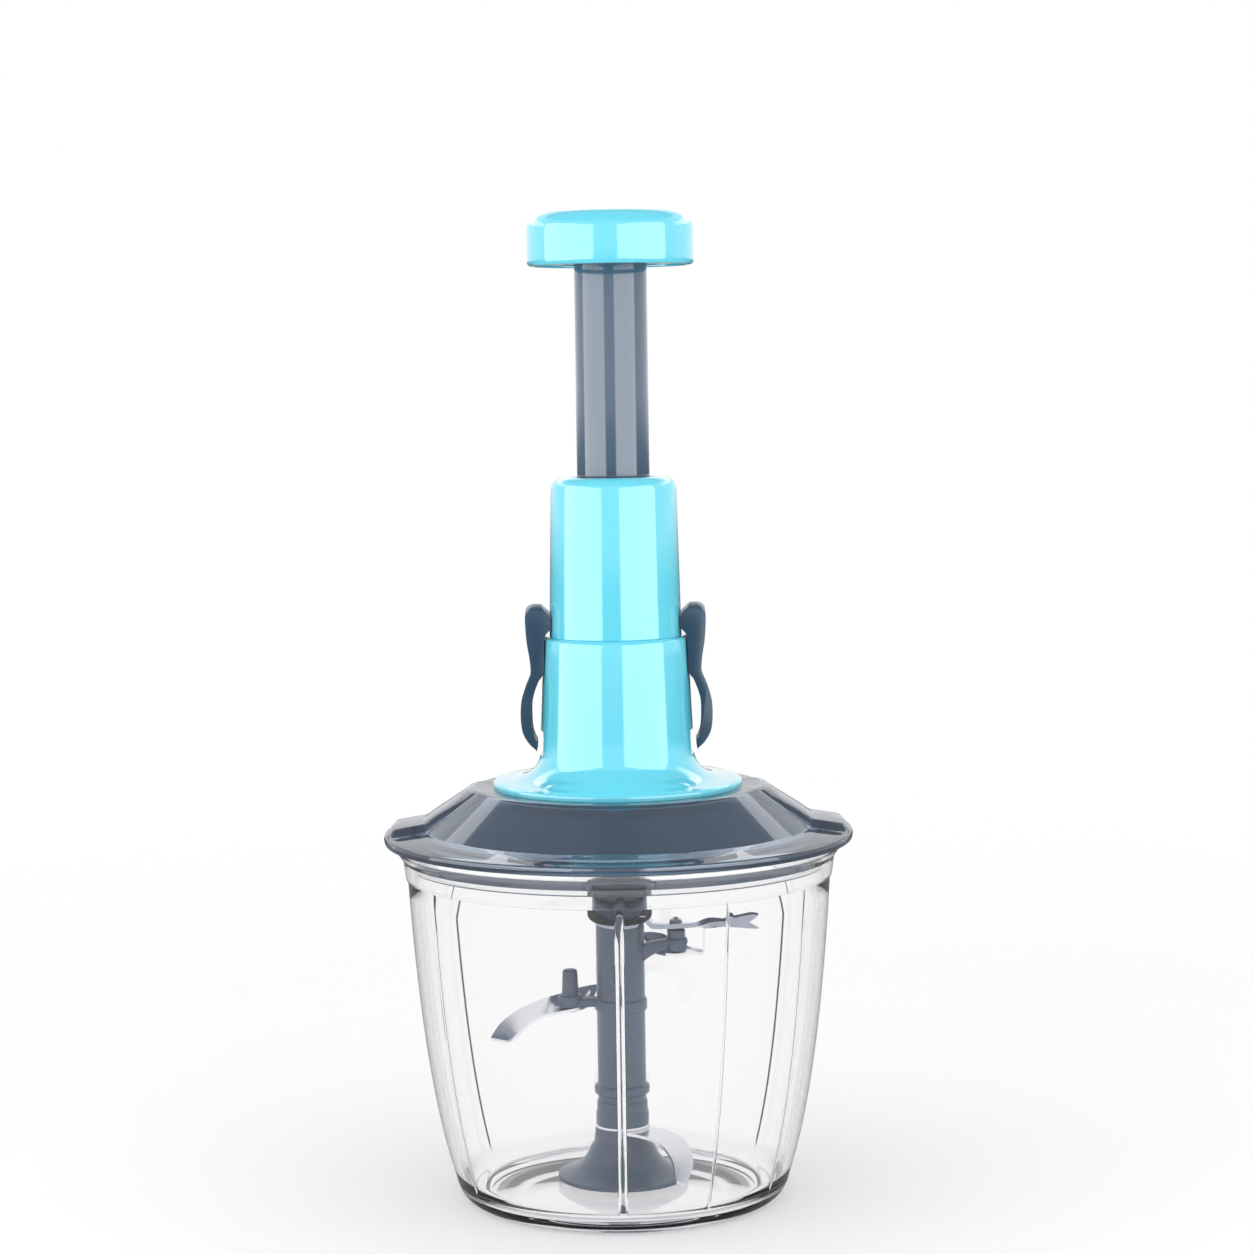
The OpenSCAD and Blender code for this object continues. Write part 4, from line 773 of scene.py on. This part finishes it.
bushShape = {"boreR": 10.72, "r": 13.12, "flangeR": 15.3, "flange": 2, "length": 17.2,
             "neckR": 12.25, "neckDrop": 0.5}  # the neck shows in the mouth, this far below the cone's top


def buildBush():
    shape = bushShape
    foot = low("guide_bush")
    neck = high("upper_housing") - shape["neckDrop"]
    flangeTop, bodyTop = foot + shape["flange"], foot + shape["length"]
    bm = lathed([
        (shape["boreR"], foot, 0.3), (shape["flangeR"], foot, 0.3), (shape["flangeR"], flangeTop, 0.3),
        (shape["r"], flangeTop, 0.2), (shape["r"], bodyTop, 0.3), (shape["neckR"], bodyTop, 0.2),
        (shape["neckR"], neck, 0.3), (shape["boreR"], neck, 0.4)], 3, 96)
    addPiece(bm, "guideBush", "lid", "guide_bush", bushAcetal)


# clips

clipShape = {  # heights from the pivot; the outer and inner edges as seen from the front
    "outer": ((24.2, 18.6), (25.7, 18.0), (26.5, 16.2), (26.2, 9), (25.3, 3), (25.2, -1.2), (26.8, -5.2),
              (28.0, -9.4), (28.2, -14.5), (27.6, -18.6), (25.9, -21.6), (24.3, -23.2), (23.6, -23.9)),
    "inner": ((23.5, -21.4), (24.4, -19.6), (25.0, -16.6), (25.0, -10.6), (24.0, -6.4), (22.8, -3.2),
              (22.2, -0.6), (22.1, 5), (21.7, 9.8), (20.2, 11.9), (19.9, 14.2), (20.6, 17), (22, 18.5)),
    "half": 6,  # half the width
    "soft": 0.8,  # radius of the long edges
    "hollowR": 21.7, "hollow": 1.2,  # how the inner face follows the bell
    "crown": 1.5,  # how much the pad's middle stands above its sides
    "nose": (18.5, 12.8, 15.2),  # reach, lowest and highest
    "pivotX": 17.3, "tongueR": 1.9, "pinR": 1.07, "tongueHalf": 4,
}


def buildClip(side, name, node):
    shape = clipShape
    pivotX = shape["pivotX"]
    bm = bmesh.new()
    outline = throughPoints(shape["outer"], 5) + throughPoints(shape["inner"], 5)
    outline = [(p.x, p.y + pivotHeight) for p in outline]
    faces = slab(bm, outline, -shape["half"], 2 * shape["half"])
    softenEdges(bm, [f for f in faces if abs(f.normal.y) > 0.9 or len(f.verts) > 4], shape["soft"], 4, 60)
    for share in (-0.75, -0.5, -0.25, 0, 0.25, 0.5, 0.75):
        cutAlong(bm, (0, share * shape["half"], 0), (0, 1, 0), lambda p: p.z > pivotHeight - 5)
    for vert in bm.verts:  # the pad's top is crowned, and the inner face is hollow, round the housings
        p = vert.co / mm
        lift = smooth(pivotHeight + 14, pivotHeight + 18.6, p.z)
        vert.co.z += (shape["crown"] * (1 - (p.y / shape["half"]) ** 2) - shape["crown"] * 0.6) * lift * mm
        near = smooth(pivotHeight - 3.5, pivotHeight - 1, p.z) * (1 - smooth(22.6, 23.8, p.x))
        bow = shape["hollowR"] - math.sqrt(shape["hollowR"] ** 2 - p.y ** 2)
        vert.co.x -= shape["hollow"] * bow * near * mm
    reach, lowest, highest = shape["nose"]
    nose = [(reach, lowest), (24, lowest - 0.4), (24, highest + 0.4), (reach, highest)]
    slab(bm, [(x, z + pivotHeight) for x, z in nose], -shape["half"] + 0.6, 2 * shape["half"] - 1.2)
    tongue = rounded([(pivotX + shape["pinR"] + 0.2, shape["tongueR"], 0), (23, shape["tongueR"], 0),
                      (23, -shape["tongueR"], 0), (pivotX + shape["pinR"] + 0.2, -shape["tongueR"], 0)])
    slab(bm, [(p.x, p.y + pivotHeight) for p in tongue], -shape["tongueHalf"], 2 * shape["tongueHalf"])
    eye = bmesh.new()
    half = shape["tongueHalf"]
    addWasher(eye, shape["pinR"], shape["tongueR"], -half, half, 0, 1, 40)
    turned(eye, eye.verts, math.radians(90), axis="X")
    shift(eye, eye.verts, pivotX, 0, pivotHeight)
    joinMesh(bm, eye)
    if side < 0:
        turned(bm, bm.verts, math.pi)
    addPiece(bm, name, node, node, slateAbs, 40)


# plunger

knobShape = {
    "r": 24.5, "edge": 5.2, "foot": 1.5, "wall": 2.5, "crown": 0.8,
    "socketR": 10.67, "socketWall": 2.3, "socketLift": 2.9,
    "plateBoreR": 10.75, "plate": (0.4, 2.8),  # the plate's two faces, from the knob's foot
}


def buildKnob():
    shape = knobShape
    foot, top = low("press_knob"), high("press_knob")
    tubeTop = high("plunger_tube")
    inR = shape["r"] - shape["wall"]
    outR = shape["socketR"] + shape["socketWall"]
    dome = bent((shape["r"] - 9, top - shape["crown"] * 0.42), (shape["r"] * 0.35, top), (0, top), 8)
    rim = [(inR, foot, 0.4), (shape["r"], foot, shape["foot"]),
           (shape["r"], top - shape["crown"], shape["edge"])]
    socket = foot + shape["socketLift"]
    inside = [(0, tubeTop, 0), (shape["socketR"], tubeTop, 0), (shape["socketR"], socket, 0),
              (outR, socket, 0), (outR, top - 4, 0.5), (inR - 3, top - 4.2, 0.5), (inR, top - 7.4, 0.5)]
    bm = lathed(rim + dome + inside, 9, 160)
    addPiece(bm, "pressKnob", "plunger", "press_knob", cyanAbs)
    bore, edge = shape["plateBoreR"], inR - 0.05
    under, over = foot + shape["plate"][0], foot + shape["plate"][1]
    plate = lathed([
        (bore, under, 0.3), (edge, under, 0.25), (edge, over, 0.2), (bore, over, 0.2)], 3, 120)
    addPiece(plate, "knobBase", "plunger", "knob_base", cyanAbs)


tubeShape = {"r": 10.65, "boreR": 8.85, "screwR": 1.6, "end": 3}


def buildTube():
    r, bore, screw = tubeShape["r"], tubeShape["boreR"], tubeShape["screwR"]
    foot, top = low("plunger_tube"), high("plunger_tube")
    end = top - tubeShape["end"]
    bm = lathed([
        (bore, foot, 0.3), (r, foot, 0.4), (r, foot + 40, 0), (r, top, 0.4),
        (screw, top, 0), (screw, end, 0), (bore, end, 0)], 3, 128)
    addPiece(bm, "plungerTube", "plunger", "plunger_tube", tubeAbs)


springShape = {"r": 6.9, "wire": 0.45, "turns": 13, "perTurn": 24, "sides": 8,
               "press": 60}  # the knob's travel


def buildSpring():
    shape = springShape
    bottom, top = low("return_spring") + shape["wire"], high("return_spring") - shape["wire"]
    bm = bmesh.new()
    made = bmesh.ops.create_circle(bm, segments=shape["sides"], radius=shape["wire"] * mm)["verts"]
    turned(bm, made, math.pi / 2, axis="X")
    shift(bm, made, shape["r"], 0, bottom)
    ring = first = bm.edges[:]
    pitch = (top - bottom) / (shape["turns"] - 1)
    for step in range(shape["turns"] * shape["perTurn"]):
        grown = bmesh.ops.extrude_edge_only(bm, edges=ring)["geom"]
        ring = only(grown, bmesh.types.BMEdge)
        verts = only(grown, bmesh.types.BMVert)
        turn = (step + 0.5) / shape["perTurn"]
        climb = 0.5 if turn < 1 or turn > shape["turns"] - 1 else 1  # the end turns lie closer
        turned(bm, verts, 2 * math.pi / shape["perTurn"])
        shift(bm, verts, 0, 0, climb * pitch / shape["perTurn"])
    for end in (first, ring):
        bmesh.ops.contextual_create(bm, geom=end)
    spring = addPiece(bm, "returnSpring", "plunger", "return_spring", springSteel, 60)
    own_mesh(spring)


# drive coupling and blade column

couplingShape = {
    "r": 9.5, "socketR": 5.7, "socketDrop": 7, "shaftR": 5.05, "shaftDepth": 5, "screwR": 1.6,
    "grooves": range(20, 360, 60), "grooveHalf": 2.6,  # degrees
    "grooveEnd": 0.8, "groove": 0.35,
}


def buildCoupling():
    shape = couplingShape
    foot, top = low("drive_coupling"), high("drive_coupling")
    socket, shaft = top - shape["socketDrop"], top - shape["shaftDepth"]
    bm = lathed([
        (shape["socketR"], foot, 0.2), (shape["r"], foot, 0.6), (shape["r"], top, 0.5),
        (shape["shaftR"], top, 0.3), (shape["shaftR"], shaft, 0), (shape["screwR"], shaft, 0),
        (shape["screwR"], socket, 0), (shape["socketR"], socket, 0)], 4, 96)

    def inGroove(p, angle):
        away = math.degrees(math.atan2(p.y, p.x)) % 360 - angle
        return (abs(away) < shape["grooveHalf"] and math.hypot(p.x, p.y) > shape["r"] - 0.2
                and foot + shape["grooveEnd"] < p.z < top - shape["grooveEnd"])

    for angle in shape["grooves"]:
        faces = [f for f in bm.faces if inGroove(f.calc_center_median() / mm, angle)]
        bmesh.ops.inset_region(bm, faces=faces, thickness=0.12 * mm, depth=-shape["groove"] * mm)
    addPiece(bm, "driveCoupling", "spindle", "drive_coupling", couplingNylon)


columnShape = {
    "r": 7.2, "boreR": 3.07, "footR": 7.9,
    "bandR": 7.55, "bandLow": 25.2, "bandHigh": 28.2, "lowRing": 31.1, "lowRingR": 8.25,
    "ringR": 7.85, "ringLow": -1.0, "ringHigh": 2.3,  # the ring at the left arm, from the arm's underside
    "rightX": 16.8, "leftX": 15.1, "rightArm": 73.2, "leftArm": 56.5,  # both bosses and undersides
    "turn": -5,  # the right arm's turn, degrees
    "armHalf": 2.3, "leftThick": 2.5,
}


def addTurning(bm, corners, segments, x, z, turn):  # a turned boss or peg with rounded corners
    made = joinMesh(bm, lathed(corners, 4, segments))
    shift(bm, made, x, 0, z)
    turned(bm, made, turn)


def addArm(bm, outline, turn):  # a slab with soft edges, turned round the axis
    half = columnShape["armHalf"]
    part = bmesh.new()
    softenEdges(part, slab(part, outline, -half, 2 * half), 0.5, 3, 50)
    turned(bm, joinMesh(bm, part), turn)


def buildColumn():
    shape = columnShape
    foot, top = low("blade_column"), eyeLevel()
    r, ringR, lowR, bandR = shape["r"], shape["ringR"], shape["lowRingR"], shape["bandR"]
    ringLow, ringHigh = shape["leftArm"] + shape["ringLow"], shape["leftArm"] + shape["ringHigh"]
    bandLow, bandHigh, z = shape["bandLow"], shape["bandHigh"], shape["lowRing"]
    bm = lathed([
        (shape["boreR"], foot, 0.1), (shape["footR"], foot, 0.3), (shape["footR"], bandLow - 0.6, 0.3),
        (bandR, bandLow, 0.2), (bandR, bandHigh, 0.3), (r, bandHigh, 0.2), (r, z - 1.2, 0.2),
        (lowR, z - 0.5, 0.5), (lowR, z + 1.6, 0.7), (r, z + 2.1, 0.3), (r, ringLow, 0.2),
        (ringR, ringLow, 0.3), (ringR, ringHigh, 0.4), (r, ringHigh, 0.2), (r, top, 0.2),
        (shape["boreR"], top, 0.1)], 3, 96)
    right, left = math.radians(shape["turn"]), math.pi
    # right: a bracket that sweeps out of the column to its boss, and a peg up to the top blade
    x, z = shape["rightX"], shape["rightArm"]
    sweep = bent((5.6, z - 4.4), (10.4, z + 0.2), (14.6, z + 0.5), 10)
    back = bent((14.6, z + 3.3), (9.6, z + 3.3), (5.6, z + 1.2), 8)
    addArm(bm, sweep + back, right)
    boss = [(0, 0, 0), (3.1, 0, 0.5), (3.1, 1.8, 0.8), (3.45, 2.6, 0.5), (3.2, 3.9, 0.6), (0, 3.9, 0)]
    addTurning(bm, boss, 48, x, z, right)
    peg = top - topBlade["step"] - 0.1 - z
    addTurning(bm, [(0, 3, 0), (2.6, 3, 0), (2.75, peg, 0.3), (0, peg, 0)], 48, x, z, right)
    # left: a flat bracket, its boss and the free peg
    x, z, over = shape["leftX"], shape["leftArm"], shape["leftArm"] + shape["leftThick"]
    addArm(bm, [(5.6, z), (14.4, z), (14.4, over), (5.6, over)], left)
    addTurning(bm, [(0, 0, 0), (3.6, 0, 0.5), (3.6, 3.7, 0.9), (0, 3.7, 0)], 48, x, z, left)
    free = [(0, 3.3, 0), (2.9, 3.3, 0.3), (2.5, 4.4, 0.5), (2.2, 11.2, 0.9), (0, 11.2, 0)]
    addTurning(bm, free, 48, x, z, left)
    addPiece(bm, "bladeColumn", "rotor", "blade_column", columnPp)


capShape = {"spigotR": 4.5, "neckR": 7.1, "collarR": 8.15, "collarH": 4.2, "headR": 5.5}


def buildCap():
    shape = capShape
    foot, top = low("column_cap"), high("column_cap")
    seat = low("drive_coupling") - 0.3
    collar = seat - shape["collarH"]
    washerTop = eyeLevel() + bladeThick + washerThick
    bm = lathed([
        (0, foot, 0), (shape["spigotR"], foot, 0.2), (shape["spigotR"], washerTop, 0),
        (shape["neckR"], washerTop, 0.2), (shape["neckR"] + 0.1, collar - 0.4, 0.2),
        (shape["collarR"] - 0.15, collar, 0.4), (shape["collarR"], seat, 0.5), (0, seat, 0)], 3, 96)
    addCone(bm, 6, shape["headR"], shape["headR"] - 0.1, top - seat, 0, (top + seat) / 2)
    addPiece(bm, "columnCap", "rotor", "column_cap", columnPp)


hubShape = {
    "boreR": 3.07, "pocketR": 5.8, "pocketH": 7.4, "skirtR": 19.5, "underR": 17.9,
    "waistR": 9.7, "waistH": 9.2, "topR": 8.1, "spigotR": 5, "spigotH": 6.9,
}


def buildHub():
    shape = hubShape
    foot, top = low("lower_hub"), high("lower_hub")
    neck = top - shape["spigotH"]
    pocket = foot + shape["pocketH"]
    flare = bent((shape["skirtR"] - 0.2, foot + 1.3), (11.4, foot + 3.2),
                 (shape["waistR"], foot + shape["waistH"]), 10)
    under = [(shape["boreR"], pocket, 0), (shape["pocketR"], pocket, 0), (7.4, foot + 2, 0.5),
             (shape["underR"], foot, 0.3), (shape["skirtR"], foot, 0.4)]
    over = [(8.6, foot + 10.6, 0.5), (shape["topR"], neck, 0.3), (shape["spigotR"], neck, 0),
            (shape["spigotR"], top, 0.3), (shape["boreR"], top, 0.1)]
    bm = lathed(under + flare + over, 3, 128)
    addPiece(bm, "lowerHub", "rotor", "lower_hub", columnPp)


# blades and rivets

bladeThick = 0.9


def bladeSheet(bm, segmentsAlong, segmentsAcross, place):  # a sheet whose points place() gives
    made = bmesh.ops.create_grid(bm, x_segments=segmentsAlong, y_segments=segmentsAcross, size=1)["verts"]
    for vert in made:
        vert.co = Vector(place((vert.co.x + 1) / 2, vert.co.y)) * mm
    bmesh.ops.recalc_face_normals(bm, faces=bm.faces)
    for face in bm.faces:
        if face.normal.z < 0:
            face.normal_flip()
    bmesh.ops.solidify(bm, geom=bm.faces[:], thickness=bladeThick * mm)
    return bm


def betweenEdges(bm, front, rear, steps, across, dip):  # a sheet between two edges, dipped where dip() says
    frontLine, rearLine = throughPoints(front, steps), throughPoints(rear, steps)
    count = len(frontLine) - 1

    def place(along, side):
        i = min(int(along * count), count - 1)
        share = along * count - i
        a, b = frontLine[i].lerp(frontLine[i + 1], share), rearLine[i].lerp(rearLine[i + 1], share)
        t = (side + 1) / 2
        flat = a.lerp(b, t)
        return flat.x, flat.y, a.z + (b.z - a.z) * t ** dip(flat.x)

    return bladeSheet(bm, count, across, place)


topBlade = {
    "start": 6, "reach": 41.3, "width": 8.6, "eye": (4.6, 7.9),
    "narrowFrom": 17, "waist": 30.8, "waistWidth": 1.6, "tailWidth": 3.9, "notch": 3.1,
    "tilt": -9.5, "twist": -66,  # degrees: nearly edge-on from the front, then turned upright at the tail
    "seat": 4.8,  # the eye's underside above the cap's foot
    "step": 1.2, "stepAt": (7.5, 10.5),  # it steps down outside the washer
    "rise": 0.9, "riseFrom": 12, "tailRise": 0.5,  # and climbs again towards the tail
}
washerThick = 0.5


def eyeLevel():  # where the top blade's eye sits
    return low("column_cap") + topBlade["seat"]


def buildTopBlade():
    shape = topBlade
    z, reach, waist = eyeLevel(), shape["reach"], shape["waist"]

    def place(along, across):
        x = shape["start"] + (reach - shape["start"]) * along
        narrow = smooth(shape["narrowFrom"], waist, x)
        half = shape["width"] / 2 * (1 - narrow) + shape["waistWidth"] / 2 * narrow
        tail = min(1, max(0, (x - waist) / (reach - waist - 2)))
        half += (shape["tailWidth"] - shape["waistWidth"]) / 2 * tail
        x -= shape["notch"] * (1 - abs(across)) * smooth(reach - 7, reach, x)
        turn = shape["tilt"] * smooth(4, 7, x) + shape["twist"] * smooth(waist - 9, waist + 2, x)
        up, flat = math.sin(math.radians(turn)), math.cos(math.radians(turn))
        lift = shape["rise"] * smooth(shape["riseFrom"], waist, x) + shape["tailRise"] * tail
        lift -= shape["step"] * smooth(*shape["stepAt"], x)
        return x, half * across * flat, z + bladeThick / 2 + lift + half * across * up

    bm = bladeSheet(bmesh.new(), 60, 8, place)
    shift(bm, bm.verts, 0, 0, bladeThick / 2)
    addWasher(bm, *shape["eye"], z, z + bladeThick, 0.2, 2, 96)
    turned(bm, bm.verts, math.radians(columnShape["turn"]))
    # the top blade wears the greyer copy of the steel: painted shade
    addPiece(bm, "topBlade", "rotor", "top_blade", shadedBladeSteel, 25)


rightBlade = {  # the two edges of the sheet, from the column outwards
    "front": ((8.2, 3.4, 73.4), (11, -1, 72.9), (14, -4.3, 72.9), (17.3, -4.2, 72.7), (20.6, -2.5, 73),
              (23, -3.4, 73), (24.8, -4.6, 73.1)),
    "rear": ((6.4, 8, 76.9), (10, 8.4, 76.9), (13.4, 7.4, 76.3), (17, 5.4, 74.6), (20.6, 2.5, 73.5),
             (23.4, -0.6, 73.4), (25, -3.4, 73.3)),
    "tip": (24.4, 25.1, 6.9),  # the upturned tip, from and to this far out, and this high
    "tipY": -4.6, "tipWidth": 2.2,
}


def buildRightBlade():
    shape = rightBlade
    bm = betweenEdges(bmesh.new(), shape["front"], shape["rear"], 7, 8,
                      lambda x: 1 + 3 * smooth(9, 13, x) * (1 - smooth(19, 22, x)))
    start, end, rise = shape["tip"]
    foot = shape["rear"][-1][2]
    under = foot - bladeThick
    slab(bm, [(start, under), (end, under), (end + 0.15, foot + rise - 0.5), (start + 0.4, foot + rise)],
         shape["tipY"], shape["tipWidth"])
    addPiece(bm, "rightBlade", "rotor", "right_blade", litBladeSteel, 25)


leftBlade = {
    "front": ((-8.6, 3, 57.4), (-12, -1, 56.4), (-18.9, -4.6, 55.8), (-24.2, -7.4, 55.3),
              (-28.3, -10.4, 52.9), (-31.3, -13.2, 50.6), (-33.4, -14.2, 49.5)),
    "rear": ((-6.4, 9.4, 61.2), (-12, 8.2, 60.5), (-18.3, 6, 59.1), (-24.2, 5.4, 57.5), (-30.4, 2, 55.4),
             (-35.6, -5, 52.9), (-38.3, -12.4, 50.1)),
}


def buildLeftBlade():
    bm = betweenEdges(bmesh.new(), leftBlade["front"], leftBlade["rear"], 8, 10,
                      lambda x: 1 + 4 * smooth(-22, -18, x) * (1 - smooth(-12, -9, x)))
    addPiece(bm, "leftBlade", "rotor", "left_blade", litBladeSteel, 25)


bottomBlade = {
    "spine": ((5, 0), (12, 1.8), (20, 2.4), (30, -1.6), (37.5, -8.5)),
    "half": 5, "taper": 0.8,  # half its width at the column, and the share of it that the end loses
    "droop": 0.0105, "droopFrom": 10, "eye": (5.02, 8), "turn": -52,
}


def buildBottomBlade():
    shape = bottomBlade
    z = low("blade_column") - bladeThick
    spine = throughPoints(shape["spine"], 8)

    def place(along, across):
        at = along * (len(spine) - 1)
        i = min(int(at), len(spine) - 2)
        centre = spine[i].lerp(spine[i + 1], at - i)
        way = (spine[i + 1] - spine[i]).normalized()
        half = shape["half"] * (1 - shape["taper"] * along ** 2.6)
        x, y = centre.x + way.y * half * -across, centre.y + way.x * half * across
        return x, y, z - shape["droop"] * max(0, x - shape["droopFrom"]) ** 2

    bm = bladeSheet(bmesh.new(), 40, 8, place)
    addWasher(bm, *shape["eye"], z, z + bladeThick, 0.2, 2, 72)
    turned(bm, bm.verts, math.radians(shape["turn"]))
    addPiece(bm, "bottomBlade", "rotor", "bottom_blade", litBladeSteel, 25)


def buildEyeWasher():
    foot = eyeLevel() + bladeThick
    bm = bmesh.new()
    addWasher(bm, 4.52, 9.7, foot, foot + washerThick, 0.15, 3, 96)
    addPiece(bm, "eyeWasher", "rotor", "eye_washer", darkNylon)


def buildRivets():
    bm = bmesh.new()
    head = [(0, 0, 0), (2.2, 0, 0.1), (2.1, 0.75, 0.5), (0.9, 0.95, 0.3), (0.5, 0.7, 0.1), (0, 0.7, 0)]
    under = [(0, 0, 0), (0.5, 0, 0.1), (0.9, -0.2, 0.3), (2.0, 0.0, 0.4), (2.2, 0.7, 0.1), (0, 0.7, 0)]
    right = math.radians(columnShape["turn"])
    addTurning(bm, head, 40, columnShape["rightX"], eyeLevel() - topBlade["step"] + bladeThick, right)
    addTurning(bm, under, 40, columnShape["rightX"], columnShape["rightArm"] - bladeThick - 0.7, right)
    addTurning(bm, under, 40, columnShape["leftX"], columnShape["leftArm"] - bladeThick - 0.7, math.pi)
    addPiece(bm, "bladeRivets", "rotor", "blade_rivets", litBladeSteel, 25)


# hidden CAD nodes keep their shape and get their finish

finishes = {
    "centre_pin": pinSteel, "drive_base": slateAbs, "thrust_washer": pinSteel, "housing_screws": screwZinc,
    "clip_pins": pinSteel, "clip_springs": springSteel, "knob_screw": screwZinc, "drive_nut": darkNylon,
    "nut_screws": screwZinc, "twisted_bar": barSteel, "spring_seat": bushAcetal, "spindle_hub": darkNylon,
    "coupling_screw": screwZinc,
}


def finishNodes():
    for name, material in finishes.items():
        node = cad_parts[name]
        node.data.materials.clear()
        node.data.materials.append(material)
    print("finished", len(finishes), "CAD nodes")


buildBowl()
buildLid()
buildCover()
buildLowerHousing()
buildUpperHousing()
buildBush()
buildClip(1, "rightClip", "right_clip")
buildClip(-1, "leftClip", "left_clip")
buildKnob()
buildTube()
buildSpring()
buildCoupling()
buildColumn()
buildCap()
buildHub()
buildTopBlade()
buildRightBlade()
buildLeftBlade()
buildBottomBlade()
buildEyeWasher()
buildRivets()
finishNodes()
